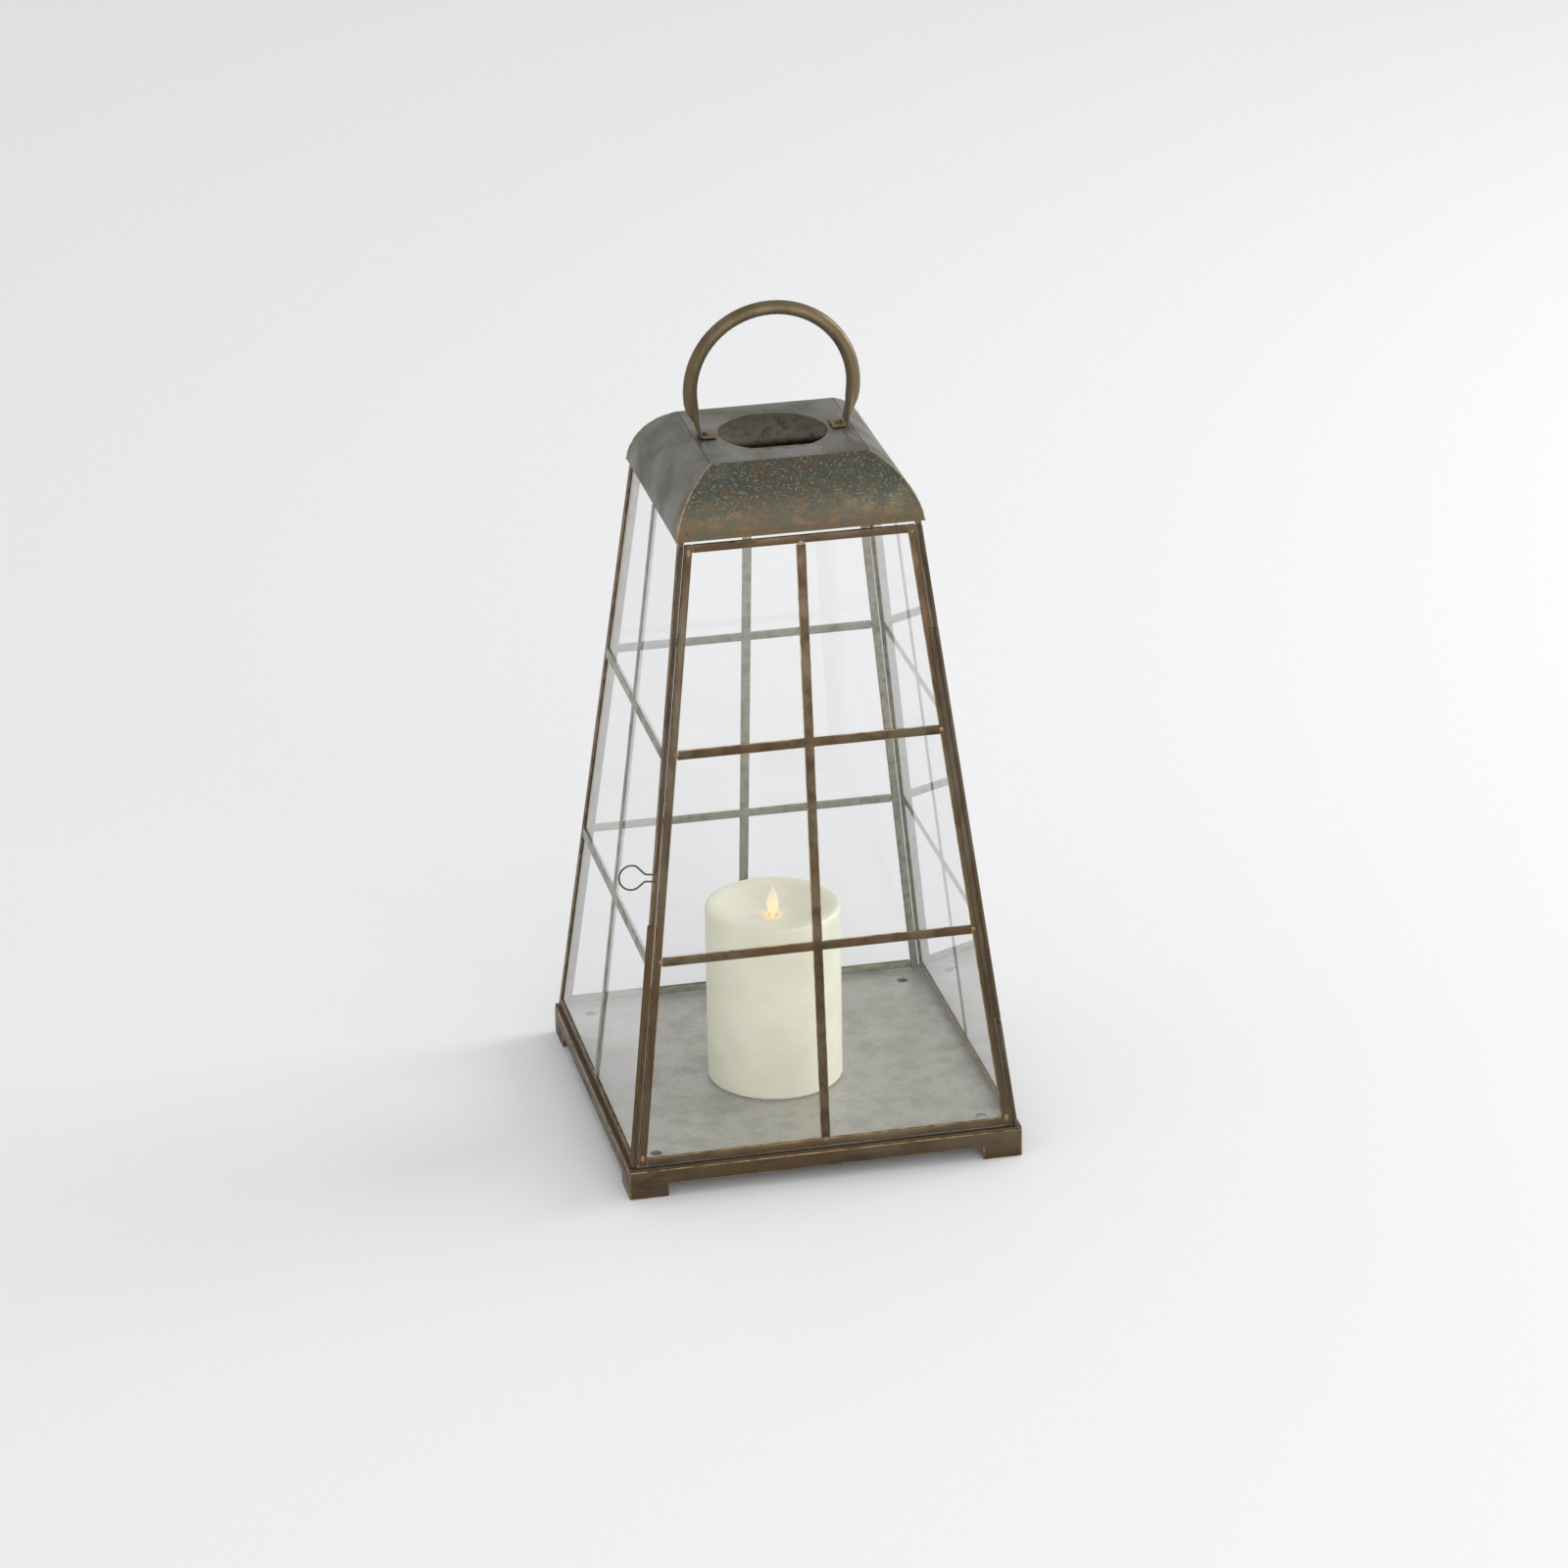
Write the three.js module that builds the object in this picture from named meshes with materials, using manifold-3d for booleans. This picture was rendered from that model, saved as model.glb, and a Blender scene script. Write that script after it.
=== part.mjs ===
// Candle lantern: a tapered four-sided glass lantern in thin patinated sheet metal.
// A square tray on four feet carries three glazed walls and a glazed door, a curved roof with
// a vent hole, and a bent-tube handle. A flameless pillar candle stands inside.
// Millimetres, +Z up, front (the door) towards -Y, origin at the centre of the base on the ground.

import * as THREE from 'three';
import { mergeVertices } from 'three/addons/utils/BufferGeometryUtils.js';
import Module from 'manifold-3d';

const wasm = await Module();
wasm.setup();

// ---------------------------------------------------------------- driving dimensions

const FIT_GAP = 0.3;             // clearance between neighbouring soldered pieces
const CUT_MARGIN = 1;            // how far a cutter runs past what it cuts

// base tray
const BASE_HALF = 130;           // half the width of the square base
const BASE_TOP = 21;             // height of the floor plate's upper face
const FLOOR_THICKNESS = 1.2;
const FLOOR_EDGE_INSET = 0.4;
const SKIRT_THICKNESS = 1.4;
const SKIRT_FLANGE = 12;         // the skirt's inward flange that carries the floor plate
const FOOT_LENGTH = 26;
const NOTCH_HEIGHT = 9;
const NOTCH_RADIUS = 1.5;
const DRAIN_OFFSET = 108;
const DRAIN_RADIUS = 3.9;
const DRAIN_SIDES = 24;

// glazed walls
const WALL_FOOT_Z = 22;          // height at which the wall's half width is stated
const WALL_FOOT_HALF = 127.5;
const WALL_TAPER = 0.1228;       // loss of half width per unit of height
const STILE_WIDTH = 5;
const FRAME_DEPTH = 3.4;         // thickness of a wall's frame
const LIP = 0.6;                 // thickness of each lip of the channel that holds the glass
const WEB = 1.8;                 // closed back of that channel
const GLASS_THICKNESS = 1.6;
const GLASS_EDGE_GAP = 0.4;
const BAR_WIDTH = 6.3;
const BAR_PROUD = 0.3;           // how far the glazing bars stand out from the frame's face
const BAR_HEIGHTS = [156.5, 290.5];
const STILE_FOOT_Z = 21.75;
const RAIL_FOOT_Z = 22.6;
const WALL_TOP_Z = 429;
const DOOR_FOOT_Z = 22.2;
const DOOR_TOP_Z = 424.3;
const SIDE_CLEARANCE = 0.8;      // between a side wall's inner face and the door or back wall

// corner tubes, hinge and latch
const TUBE_RADIUS = 1.3;
const TUBE_BORE = 0.72;
const WIRE_RADIUS = 0.62;
const AXIS_INSET = 1.6;          // tube axis, in from the lantern's corner
const AXIS_FORWARD = 1.7;        // tube axis, in front of the door's face
const HINGE_UPPER = [361.5, 424];
const HINGE_DOOR = [96, 357];
const HINGE_LOWER = [27, 92.5];
const HINGE_PIN = [21.8, 425.6];
const LEAF_REACH = 4.6;          // how far the door's knuckle leaf reaches from the pin's axis
const LEAF_THICKNESS = 0.6;
const LATCH_TUBE = [262, 423.5];
const LATCH_WIRE_TOP = 318;
const EDGE_TUBE = [25, 182];
const EDGE_TUBE_OUT = 0.9;
const EDGE_TUBE_FORWARD = 1.4;
const LATCH_LOOP_Z = 213;
const LATCH_LOOP_RADIUS = 8;
const LATCH_LOOP_REACH = 16.4;   // loop centre, out from the wire's axis
const LATCH_NECK_HALF = 2.3;
const LATCH_BEND = 3;
const LATCH_FLARE = 3.4;         // bend radius where the neck opens into the loop
const LATCH_HOOK_TURN = 0.85 * Math.PI;
const LATCH_ARC_STEP = 1.4;      // longest stretch of wire between two points on a bend
const BORE_SIDES = 16;

// roof
const EAVE_HALF = 79.6;
const EAVE_Z = 427.2;
const CAP_HALF = 51.2;
const CAP_Z = 466.8;
const ROOF_BULGE = 6.2;          // rise of the curved face above the straight line between its edges
const ROOF_THICKNESS = 1;
const ROOF_STEPS = 12;
const VENT_RADIUS = 35;
const VENT_SEGMENTS = 72;

// handle
const HANDLE_TUBE_RADIUS = 4.55;
const HANDLE_RING_RADIUS = 52.9;
const HANDLE_CENTRE_Z = 496;
const HANDLE_RING_STEPS = 22;
const HANDLE_SIDES = 20;
const HANDLE_FLAT_RISE = 7;      // height above the cap up to which the tube is pressed flat
const HANDLE_ROUND_RISE = 21;    // height above the cap from which it is round
const TAB_SQUARENESS = 0.35;     // 1 is an ellipse, less is a flatter section
const HANDLE_LEG_DROP = 20;      // depth below the ring's centre at which the straight legs start
const TAB_THICKNESS = 1.6;
const TAB_WIDTH = 14;
const TAB_INNER_X = 37.6;
const TAB_BEND = 2.4;
const TAB_BEND_STEPS = 5;
const RIVET_X = 43;
const RIVET_SHANK = 1.2;
const RIVET_HOLE = 1.55;
const RIVET_HEAD = 2.4;
const RIVET_HEAD_RISE = 1.3;
const RIVET_HEAD_STEPS = 5;
const RIVET_TAIL = 1.9;
const RIVET_TAIL_HEIGHT = 1;
const RIVET_SIDES = 16;

// candle
const CANDLE_CENTRE = [-7.5, -10];
const CANDLE_RADIUS = 44.5;
const CANDLE_HEIGHT = 122;
const CANDLE_WALL = 6;
const CANDLE_ROOF = 28;          // wax from the hollow's ceiling to the rim
const CANDLE_RIM = 5;
const CANDLE_DISH = 8;
const CANDLE_DISH_STEPS = 8;
const CANDLE_RIM_ROUND = 2;
const CANDLE_RIM_STEPS = 4;
const CANDLE_FOOT_CHAMFER = 1.5;
const CANDLE_SIDES = 56;
const BASE_CAP_INSET = 0.6;      // the base cap's height above the candle's foot
const BASE_CAP_THICKNESS = 3.4;
const BASE_CAP_SIDES = 48;
const CANDLE_FOOT_Z = BASE_TOP + 0.2;
const WELL_RADIUS = 4.4;
const WELL_DEPTH = 15;
const FLAME_WIDTH = 8;
const FLAME_HEIGHT = 21;
const FLAME_THICKNESS = 1.8;
const FLAME_STEM = 1.3;
const FLAME_STEM_LENGTH = 5;     // below the pivot
const FLAME_WIDEST = 0.38;       // share of the flame's height at which it is widest
const FLAME_TIP_HALF = 0.25;
const PIVOT_DEPTH = 3;
const PIVOT_RADIUS = 0.42;
const PIVOT_HOLE = 0.5;
const PIVOT_SIDES = 12;
const WEIGHT_RADIUS = 2.5;
const WEIGHT_HEIGHT = 4;
const WEIGHT_SIDES = 20;

// worked-out values
const SLOPE = Math.atan(WALL_TAPER);
const CANDLE_TOP_Z = CANDLE_FOOT_Z + CANDLE_HEIGHT;
const DISH_Z = CANDLE_TOP_Z - CANDLE_DISH;
const PIVOT_Z = DISH_Z - PIVOT_DEPTH;

// ---------------------------------------------------------------- finishes

function finish(hex, roughness, metalness, extra = {}) {
  return new THREE.MeshStandardMaterial({ color: hex, roughness, metalness, ...extra });
}

const bronze = () => finish(0x6b5641, 0.5, 0.9);
const agedBronze = () => finish(0x5e5c4c, 0.55, 0.85);
const zinc = () => finish(0x9c9c96, 0.55, 0.8);
const brassTube = () => finish(0x6e6450, 0.38, 0.95);
const clearGlass = () => finish(0xf2f6f4, 0.05, 0, { transparent: true, opacity: 0.2 });
const wax = () => finish(0xe0dfca, 0.6, 0);
const steel = () => finish(0x8a8a86, 0.4, 1);
const flamePlastic = () => finish(0xf6e7c0, 0.5, 0, { emissive: 0xffb04a, emissiveIntensity: 0.6 });
const basePlastic = () => finish(0xe8e6da, 0.5, 0);

// ---------------------------------------------------------------- geometry helpers

function solidFrom(geometry) {
  const plain = geometry.clone();
  plain.deleteAttribute('normal');
  plain.deleteAttribute('uv');
  const merged = mergeVertices(plain, 1e-4);
  const vertProperties = new Float32Array(merged.attributes.position.array);
  const triVerts = new Uint32Array(merged.index.array);
  return new wasm.Manifold(new wasm.Mesh({ numProp: 3, vertProperties, triVerts }));
}

function geometryFrom(solid) {
  const mesh = solid.getMesh();
  const geometry = new THREE.BufferGeometry();
  geometry.setAttribute('position', new THREE.BufferAttribute(new Float32Array(mesh.vertProperties), 3));
  geometry.setIndex(Array.from(mesh.triVerts));
  geometry.computeVertexNormals();
  return geometry;
}

// A flat outline, pushed from one level to another along the third axis.
function prism(outline, low, high) {
  const shape = new THREE.Shape(outline.map(([x, y]) => new THREE.Vector2(x, y)));
  const geometry = new THREE.ExtrudeGeometry(shape, { depth: high - low, bevelEnabled: false });
  geometry.translate(0, 0, low);
  return geometry;
}

function block(x0, x1, y0, y1, z0, z1) {
  const geometry = new THREE.BoxGeometry(x1 - x0, y1 - y0, z1 - z0);
  geometry.translate((x0 + x1) / 2, (y0 + y1) / 2, (z0 + z1) / 2);
  return geometry;
}

function uprightCylinder(radius, z0, z1, segments, x = 0, y = 0) {
  const geometry = new THREE.CylinderGeometry(radius, radius, z1 - z0, segments);
  geometry.rotateX(Math.PI / 2);
  geometry.translate(x, y, (z0 + z1) / 2);
  return geometry;
}

function union(...geometries) {
  return geometries.map(solidFrom).reduce((sum, next) => sum.add(next));
}

function signedVolume(points, triangles) {
  let total = 0;
  for (const [a, b, c] of triangles) {
    total += points[a].dot(new THREE.Vector3().crossVectors(points[b], points[c]));
  }
  return total / 6;
}

// A closed solid through a row of rings, each ring a convex loop with the same number of points.
function loft(rings) {
  const count = rings[0].length;
  const points = rings.flat();
  const triangles = [];
  for (let i = 0; i < rings.length - 1; i++) {
    for (let j = 0; j < count; j++) {
      const a = i * count + j;
      const b = i * count + (j + 1) % count;
      triangles.push([a, b, b + count], [a, b + count, a + count]);
    }
  }
  const last = (rings.length - 1) * count;
  for (let j = 1; j < count - 1; j++) {
    triangles.push([0, j + 1, j], [last, last + j, last + j + 1]);
  }
  const outward = signedVolume(points, triangles) > 0;
  const index = triangles.flatMap(([a, b, c]) => (outward ? [a, b, c] : [a, c, b]));
  const geometry = new THREE.BufferGeometry();
  const coordinates = points.flatMap((p) => [p.x, p.y, p.z]);
  geometry.setAttribute('position', new THREE.BufferAttribute(new Float32Array(coordinates), 3));
  geometry.setIndex(index);
  geometry.computeVertexNormals();
  return geometry;
}

// A ring round a point, spanned by two directions.
function ringAt(centre, across, along, radius, sides) {
  const ring = [];
  for (let j = 0; j < sides; j++) {
    const turn = (2 * Math.PI * j) / sides;
    ring.push(centre.clone()
      .addScaledVector(across, radius * Math.cos(turn))
      .addScaledVector(along, radius * Math.sin(turn)));
  }
  return ring;
}

// A round rod through points that all lie in one plane with the given normal.
function planarRod(points, planeNormal, radius, sides) {
  const rings = points.map((point, i) => {
    const before = points[Math.max(i - 1, 0)];
    const after = points[Math.min(i + 1, points.length - 1)];
    const tangent = new THREE.Vector3().subVectors(after, before).normalize();
    const across = new THREE.Vector3().crossVectors(tangent, planeNormal).normalize();
    return ringAt(point, across, planeNormal, radius, sides);
  });
  return loft(rings);
}

function piece(name, geometry, material) {
  const mesh = new THREE.Mesh(geometry, material);
  mesh.name = name;
  return mesh;
}

// ---------------------------------------------------------------- base tray

function skirtSide() {
  const outer = BASE_HALF;
  const inner = BASE_HALF - SKIRT_THICKNESS;
  const flange = BASE_HALF - SKIRT_FLANGE;
  const top = BASE_TOP - FLOOR_THICKNESS - FIT_GAP;
  const section = [
    [-outer, 0], [-inner, 0], [-inner, top - SKIRT_THICKNESS], [-flange, top - SKIRT_THICKNESS],
    [-flange, top], [-outer, top],
  ];
  const sheet = prism(section, -outer, outer);
  const alongX = new THREE.Matrix4().makeBasis(
    new THREE.Vector3(0, 1, 0), new THREE.Vector3(0, 0, 1), new THREE.Vector3(1, 0, 0));
  sheet.applyMatrix4(alongX);
  return geometryFrom([notchCutter(), mitreCutter(1), mitreCutter(-1)].map(solidFrom)
    .reduce((rest, cutter) => rest.subtract(cutter), solidFrom(sheet)));
}

// Everything beyond the 45 degree plane at one end of a skirt side.
function mitreCutter(end) {
  const far = BASE_HALF + 1;
  const near = BASE_HALF - SKIRT_FLANGE - 1;
  const mitre = FIT_GAP / 2;
  const outline = [[far - mitre, -far], [far + 4, -far], [far + 4, -near], [near - mitre, -near]];
  return prism(outline.map(([x, y]) => [end * x, y]), -1, BASE_TOP + 1);
}

// The long cut-out between two feet, with small rounds in its upper corners.
function notchCutter() {
  const half = BASE_HALF - FOOT_LENGTH;
  const shape = new THREE.Shape();
  shape.moveTo(-half, -1);
  shape.lineTo(half, -1);
  shape.lineTo(half, NOTCH_HEIGHT - NOTCH_RADIUS);
  shape.absarc(half - NOTCH_RADIUS, NOTCH_HEIGHT - NOTCH_RADIUS, NOTCH_RADIUS, 0, Math.PI / 2);
  shape.lineTo(-half + NOTCH_RADIUS, NOTCH_HEIGHT);
  shape.absarc(-half + NOTCH_RADIUS, NOTCH_HEIGHT - NOTCH_RADIUS, NOTCH_RADIUS, Math.PI / 2, Math.PI);
  const depth = 4 * SKIRT_THICKNESS;
  const geometry = new THREE.ExtrudeGeometry(shape, { depth, bevelEnabled: false, curveSegments: 5 });
  geometry.rotateX(Math.PI / 2);
  geometry.translate(0, -BASE_HALF + depth / 2, 0);
  return geometry;
}

function floorPlate() {
  const half = BASE_HALF - FLOOR_EDGE_INSET;
  const bottom = BASE_TOP - FLOOR_THICKNESS;
  const low = bottom - CUT_MARGIN;
  const high = BASE_TOP + CUT_MARGIN;
  const drain = (x, y) => uprightCylinder(DRAIN_RADIUS, low, high, DRAIN_SIDES, x, y);
  let plate = solidFrom(block(-half, half, -half, half, bottom, BASE_TOP));
  for (const x of [-DRAIN_OFFSET, DRAIN_OFFSET]) {
    for (const y of [-DRAIN_OFFSET, DRAIN_OFFSET]) {
      plate = plate.subtract(solidFrom(drain(x, y)));
    }
  }
  return geometryFrom(plate);
}

function buildBase() {
  const base = new THREE.Group();
  ['front', 'right', 'back', 'left'].forEach((side, quarter) => {
    const skirt = piece(`base_skirt_${side}`, skirtSide(), bronze());
    skirt.rotation.z = quarter * Math.PI / 2;
    base.add(skirt);
  });
  base.add(piece('floor_plate', floorPlate(), zinc()));
  return base;
}

// ---------------------------------------------------------------- glazed walls

function wallHalf(z) {
  return WALL_FOOT_HALF - WALL_TAPER * (z - WALL_FOOT_Z);
}

// Distance up the sloping wall from the height at which the wall frame's own zero lies.
function upSlope(z) {
  return (z - WALL_FOOT_Z) / Math.cos(SLOPE);
}

// One channel of a wall's frame: two lips joined by a web along its closed edge.
function channel(lipOutline, webOutline) {
  const outerLip = prism(lipOutline, -LIP, 0);
  const innerLip = prism(lipOutline, -FRAME_DEPTH, -FRAME_DEPTH + LIP);
  const web = prism(webOutline, -FRAME_DEPTH, 0);
  return geometryFrom(union(outerLip, web, innerLip));
}

// A stile follows the sloping edge of the wall; side is -1 or 1.
function stile(side, inset, lowZ, highZ) {
  const outline = (width) => {
    const edge = (z, shift) => [side * (wallHalf(z) - inset - shift), upSlope(z)];
    const loop = [edge(lowZ, 0), edge(highZ, 0), edge(highZ, width), edge(lowZ, width)];
    return side > 0 ? loop : loop.reverse();
  };
  return channel(outline(STILE_WIDTH), outline(WEB));
}

// A rail runs between the stiles; its web is on the edge away from the glass.
function rail(inset, lowZ, highZ, webLowZ, webHighZ) {
  const outline = (z0, z1) => {
    const reach = (z) => wallHalf(z) - inset - STILE_WIDTH - FIT_GAP;
    return [
      [-reach(z0), upSlope(z0)], [reach(z0), upSlope(z0)],
      [reach(z1), upSlope(z1)], [-reach(z1), upSlope(z1)],
    ];
  };
  return channel(outline(lowZ, highZ), outline(webLowZ, webHighZ));
}

function glassPane(inset, lowZ, highZ) {
  const z0 = lowZ + WEB + GLASS_EDGE_GAP;
  const z1 = highZ - WEB - GLASS_EDGE_GAP;
  const reach = (z) => wallHalf(z) - inset - WEB - GLASS_EDGE_GAP;
  const outline = [
    [-reach(z0), upSlope(z0)], [reach(z0), upSlope(z0)],
    [reach(z1), upSlope(z1)], [-reach(z1), upSlope(z1)],
  ];
  const front = -(FRAME_DEPTH - GLASS_THICKNESS) / 2;
  return prism(outline, front - GLASS_THICKNESS, front);
}

// One upright bar crossed by two level bars, soldered into one piece on the glass's outer side.
function glazingBars(inset, lowZ, highZ) {
  const half = BAR_WIDTH / 2;
  const foot = upSlope(lowZ) + STILE_WIDTH + FIT_GAP;
  const head = upSlope(highZ) - STILE_WIDTH - FIT_GAP;
  const low = -LIP;
  const high = BAR_PROUD;
  let bars = solidFrom(prism([[-half, foot], [half, foot], [half, head], [-half, head]], low, high));
  for (const z of BAR_HEIGHTS) {
    const reach = (level) => wallHalf(level) - inset - STILE_WIDTH - FIT_GAP;
    const z0 = z - half * Math.cos(SLOPE);
    const z1 = z + half * Math.cos(SLOPE);
    const outline = [
      [-reach(z0), upSlope(z0)], [reach(z0), upSlope(z0)],
      [reach(z1), upSlope(z1)], [-reach(z1), upSlope(z1)],
    ];
    bars = bars.add(solidFrom(prism(outline, low, high)));
  }
  return geometryFrom(bars);
}

// A whole framed and glazed wall, in its own plane: x along the wall, y up its slope, z outwards.
function glazedWall(name, inset, stileLowZ, railLowZ, highZ) {
  const wall = new THREE.Group();
  const railHead = highZ - STILE_WIDTH * Math.cos(SLOPE);
  const railFoot = railLowZ + STILE_WIDTH * Math.cos(SLOPE);
  const webStep = WEB * Math.cos(SLOPE);
  wall.add(
    piece(`${name}_stile_left`, stile(-1, inset, stileLowZ, highZ), bronze()),
    piece(`${name}_stile_right`, stile(1, inset, stileLowZ, highZ), bronze()),
    piece(`${name}_rail_bottom`, rail(inset, railLowZ, railFoot, railLowZ, railLowZ + webStep), bronze()),
    piece(`${name}_rail_top`, rail(inset, railHead, highZ, highZ - webStep, highZ), bronze()),
    piece(`${name}_glass`, glassPane(inset, railLowZ, highZ), clearGlass()),
    piece(`${name}_bars`, glazingBars(inset, railLowZ, highZ), bronze()),
  );
  wall.position.set(0, -WALL_FOOT_HALF, WALL_FOOT_Z);
  wall.rotation.x = Math.PI / 2 - SLOPE;
  return wall;
}

function buildWalls() {
  const walls = new THREE.Group();
  const between = FRAME_DEPTH / Math.cos(SLOPE) + SIDE_CLEARANCE;
  const fixed = { stileLowZ: STILE_FOOT_Z, railLowZ: RAIL_FOOT_Z, highZ: WALL_TOP_Z };
  const hung = { stileLowZ: DOOR_FOOT_Z, railLowZ: DOOR_FOOT_Z, highZ: DOOR_TOP_Z };
  const sides = [
    { name: 'door', quarter: 0, inset: between, ...hung },
    { name: 'wall_right', quarter: 1, inset: 0, ...fixed },
    { name: 'wall_back', quarter: 2, inset: between, ...fixed },
    { name: 'wall_left', quarter: 3, inset: 0, ...fixed },
  ];
  for (const side of sides) {
    const turned = new THREE.Group();
    turned.rotation.z = side.quarter * Math.PI / 2;
    turned.add(glazedWall(side.name, side.inset, side.stileLowZ, side.railLowZ, side.highZ));
    walls.add(turned);
  }
  return walls;
}

// ---------------------------------------------------------------- corner tubes, hinge and latch

// A point on a line that follows a front corner; side is -1 for the latch side, 1 for the hinge side.
function cornerPoint(side, z, inset = AXIS_INSET, forward = AXIS_FORWARD) {
  return new THREE.Vector3(side * (wallHalf(z) - inset), -(wallHalf(z) + forward), z);
}

function cornerDirection(side) {
  return new THREE.Vector3(-side * WALL_TAPER, WALL_TAPER, 1).normalize();
}

function straightRod(from, to, radius, sides) {
  const direction = new THREE.Vector3().subVectors(to, from).normalize();
  const across = new THREE.Vector3(0, 1, 0).cross(direction).normalize();
  const along = new THREE.Vector3().crossVectors(direction, across);
  return loft([ringAt(from, across, along, radius, sides), ringAt(to, across, along, radius, sides)]);
}

function cornerTube(side, [lowZ, highZ], inset, forward) {
  const reach = cornerDirection(side).multiplyScalar(2);
  const low = cornerPoint(side, lowZ, inset, forward);
  const high = cornerPoint(side, highZ, inset, forward);
  const tube = solidFrom(straightRod(low, high, TUBE_RADIUS, BORE_SIDES));
  const bore = solidFrom(straightRod(low.clone().sub(reach), high.clone().add(reach), TUBE_BORE, BORE_SIDES));
  return tube.subtract(bore);
}

// The door's long knuckle, with the flat leaf that is soldered on the face of the door's stile.
function doorKnuckle() {
  const [lowZ, highZ] = HINGE_DOOR;
  const near = FIT_GAP + 0.05;
  const leafRing = (z) => {
    const axis = cornerPoint(1, z);
    const back = -(wallHalf(z) + near);
    const front = back - LEAF_THICKNESS;
    return [
      new THREE.Vector3(axis.x - LEAF_REACH, back, z), new THREE.Vector3(axis.x - TUBE_BORE, back, z),
      new THREE.Vector3(axis.x - TUBE_BORE, front, z), new THREE.Vector3(axis.x - LEAF_REACH, front, z),
    ];
  };
  const leaf = solidFrom(loft([leafRing(lowZ), leafRing(highZ)]));
  const reach = cornerDirection(1).multiplyScalar(2);
  const boreLow = cornerPoint(1, lowZ).sub(reach);
  const boreHigh = cornerPoint(1, highZ).add(reach);
  const bore = solidFrom(straightRod(boreLow, boreHigh, TUBE_BORE, BORE_SIDES));
  return geometryFrom(cornerTube(1, HINGE_DOOR).add(leaf).subtract(bore));
}

// The latch's outline beside its axis: u points out from the lantern, v runs up the corner.
function latchOutline() {
  const path = new THREE.CurvePath();
  const neck = LATCH_NECK_HALF;
  const reach = LATCH_LOOP_REACH;
  const radius = LATCH_LOOP_RADIUS;
  const flare = LATCH_FLARE;
  const gapAngle = Math.acos((neck + flare) / (radius + flare));
  const flareX = reach - (radius + flare) * Math.sin(gapAngle);
  const top = upSlopeAlongCorner(LATCH_WIRE_TOP);
  const line = (a, b) => new THREE.LineCurve(new THREE.Vector2(...a), new THREE.Vector2(...b));
  const arc = (x, y, r, from, to, clockwise) => new THREE.EllipseCurve(x, y, r, r, from, to, clockwise);
  path.add(line([0, top], [0, neck + LATCH_BEND]));
  path.add(arc(LATCH_BEND, neck + LATCH_BEND, LATCH_BEND, Math.PI, 1.5 * Math.PI, false));
  path.add(line([LATCH_BEND, neck], [flareX, neck]));
  path.add(arc(flareX, neck + flare, flare, 1.5 * Math.PI, 2 * Math.PI - gapAngle, false));
  path.add(arc(reach, 0, radius, Math.PI - gapAngle, -(Math.PI - gapAngle), true));
  path.add(arc(flareX, -neck - flare, flare, gapAngle, 0.5 * Math.PI, false));
  path.add(line([flareX, -neck], [LATCH_BEND, -neck]));
  path.add(arc(LATCH_BEND, -neck - LATCH_BEND, LATCH_BEND, 0.5 * Math.PI, LATCH_HOOK_TURN, false));
  return path;
}

function upSlopeAlongCorner(z) {
  return (z - LATCH_LOOP_Z) / cornerDirection(-1).z;
}

function latchWire() {
  const up = cornerDirection(-1);
  const origin = cornerPoint(-1, LATCH_LOOP_Z);
  const outward = new THREE.Vector3(-1, 0, 0).addScaledVector(up, up.x).normalize();
  const normal = new THREE.Vector3().crossVectors(outward, up).normalize();
  const flat = latchOutline().curves.flatMap((curve, i) => {
    const steps = curve.isLineCurve ? 1 : Math.max(4, Math.round(curve.getLength() / LATCH_ARC_STEP));
    return curve.getPoints(steps).slice(i === 0 ? 0 : 1);
  });
  const points = flat.map((p) => origin.clone().addScaledVector(outward, p.x).addScaledVector(up, p.y));
  return planarRod(points, normal, WIRE_RADIUS, 10);
}

function buildHingeAndLatch() {
  const fittings = new THREE.Group();
  const pinEnds = HINGE_PIN.map((z) => cornerPoint(1, z));
  const edgeTube = cornerTube(-1, EDGE_TUBE, -EDGE_TUBE_OUT, EDGE_TUBE_FORWARD);
  fittings.add(
    piece('hinge_knuckle_upper', geometryFrom(cornerTube(1, HINGE_UPPER)), bronze()),
    piece('hinge_knuckle_lower', geometryFrom(cornerTube(1, HINGE_LOWER)), bronze()),
    piece('hinge_pin', straightRod(pinEnds[0], pinEnds[1], WIRE_RADIUS, 12), brassTube()),
    piece('door_hinge_knuckle', doorKnuckle(), bronze()),
    piece('latch_tube', geometryFrom(cornerTube(-1, LATCH_TUBE)), bronze()),
    piece('corner_tube_lower', geometryFrom(edgeTube), bronze()),
    piece('latch_wire', latchWire(), brassTube()),
  );
  return fittings;
}

// ---------------------------------------------------------------- roof

// Points of the curved face's section, from the eave to the flat cap, on one circle.
function roofSection() {
  const low = new THREE.Vector2(EAVE_HALF, EAVE_Z);
  const high = new THREE.Vector2(CAP_HALF, CAP_Z);
  const chord = low.distanceTo(high);
  const radius = (chord * chord / 4 + ROOF_BULGE * ROOF_BULGE) / (2 * ROOF_BULGE);
  const middle = low.clone().add(high).multiplyScalar(0.5);
  const inward = new THREE.Vector2(-(high.y - low.y), high.x - low.x).normalize();
  const centre = middle.addScaledVector(inward, radius - ROOF_BULGE);
  const start = Math.atan2(low.y - centre.y, low.x - centre.x);
  const end = Math.atan2(high.y - centre.y, high.x - centre.x);
  return { centre, radius, start, end };
}

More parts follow.
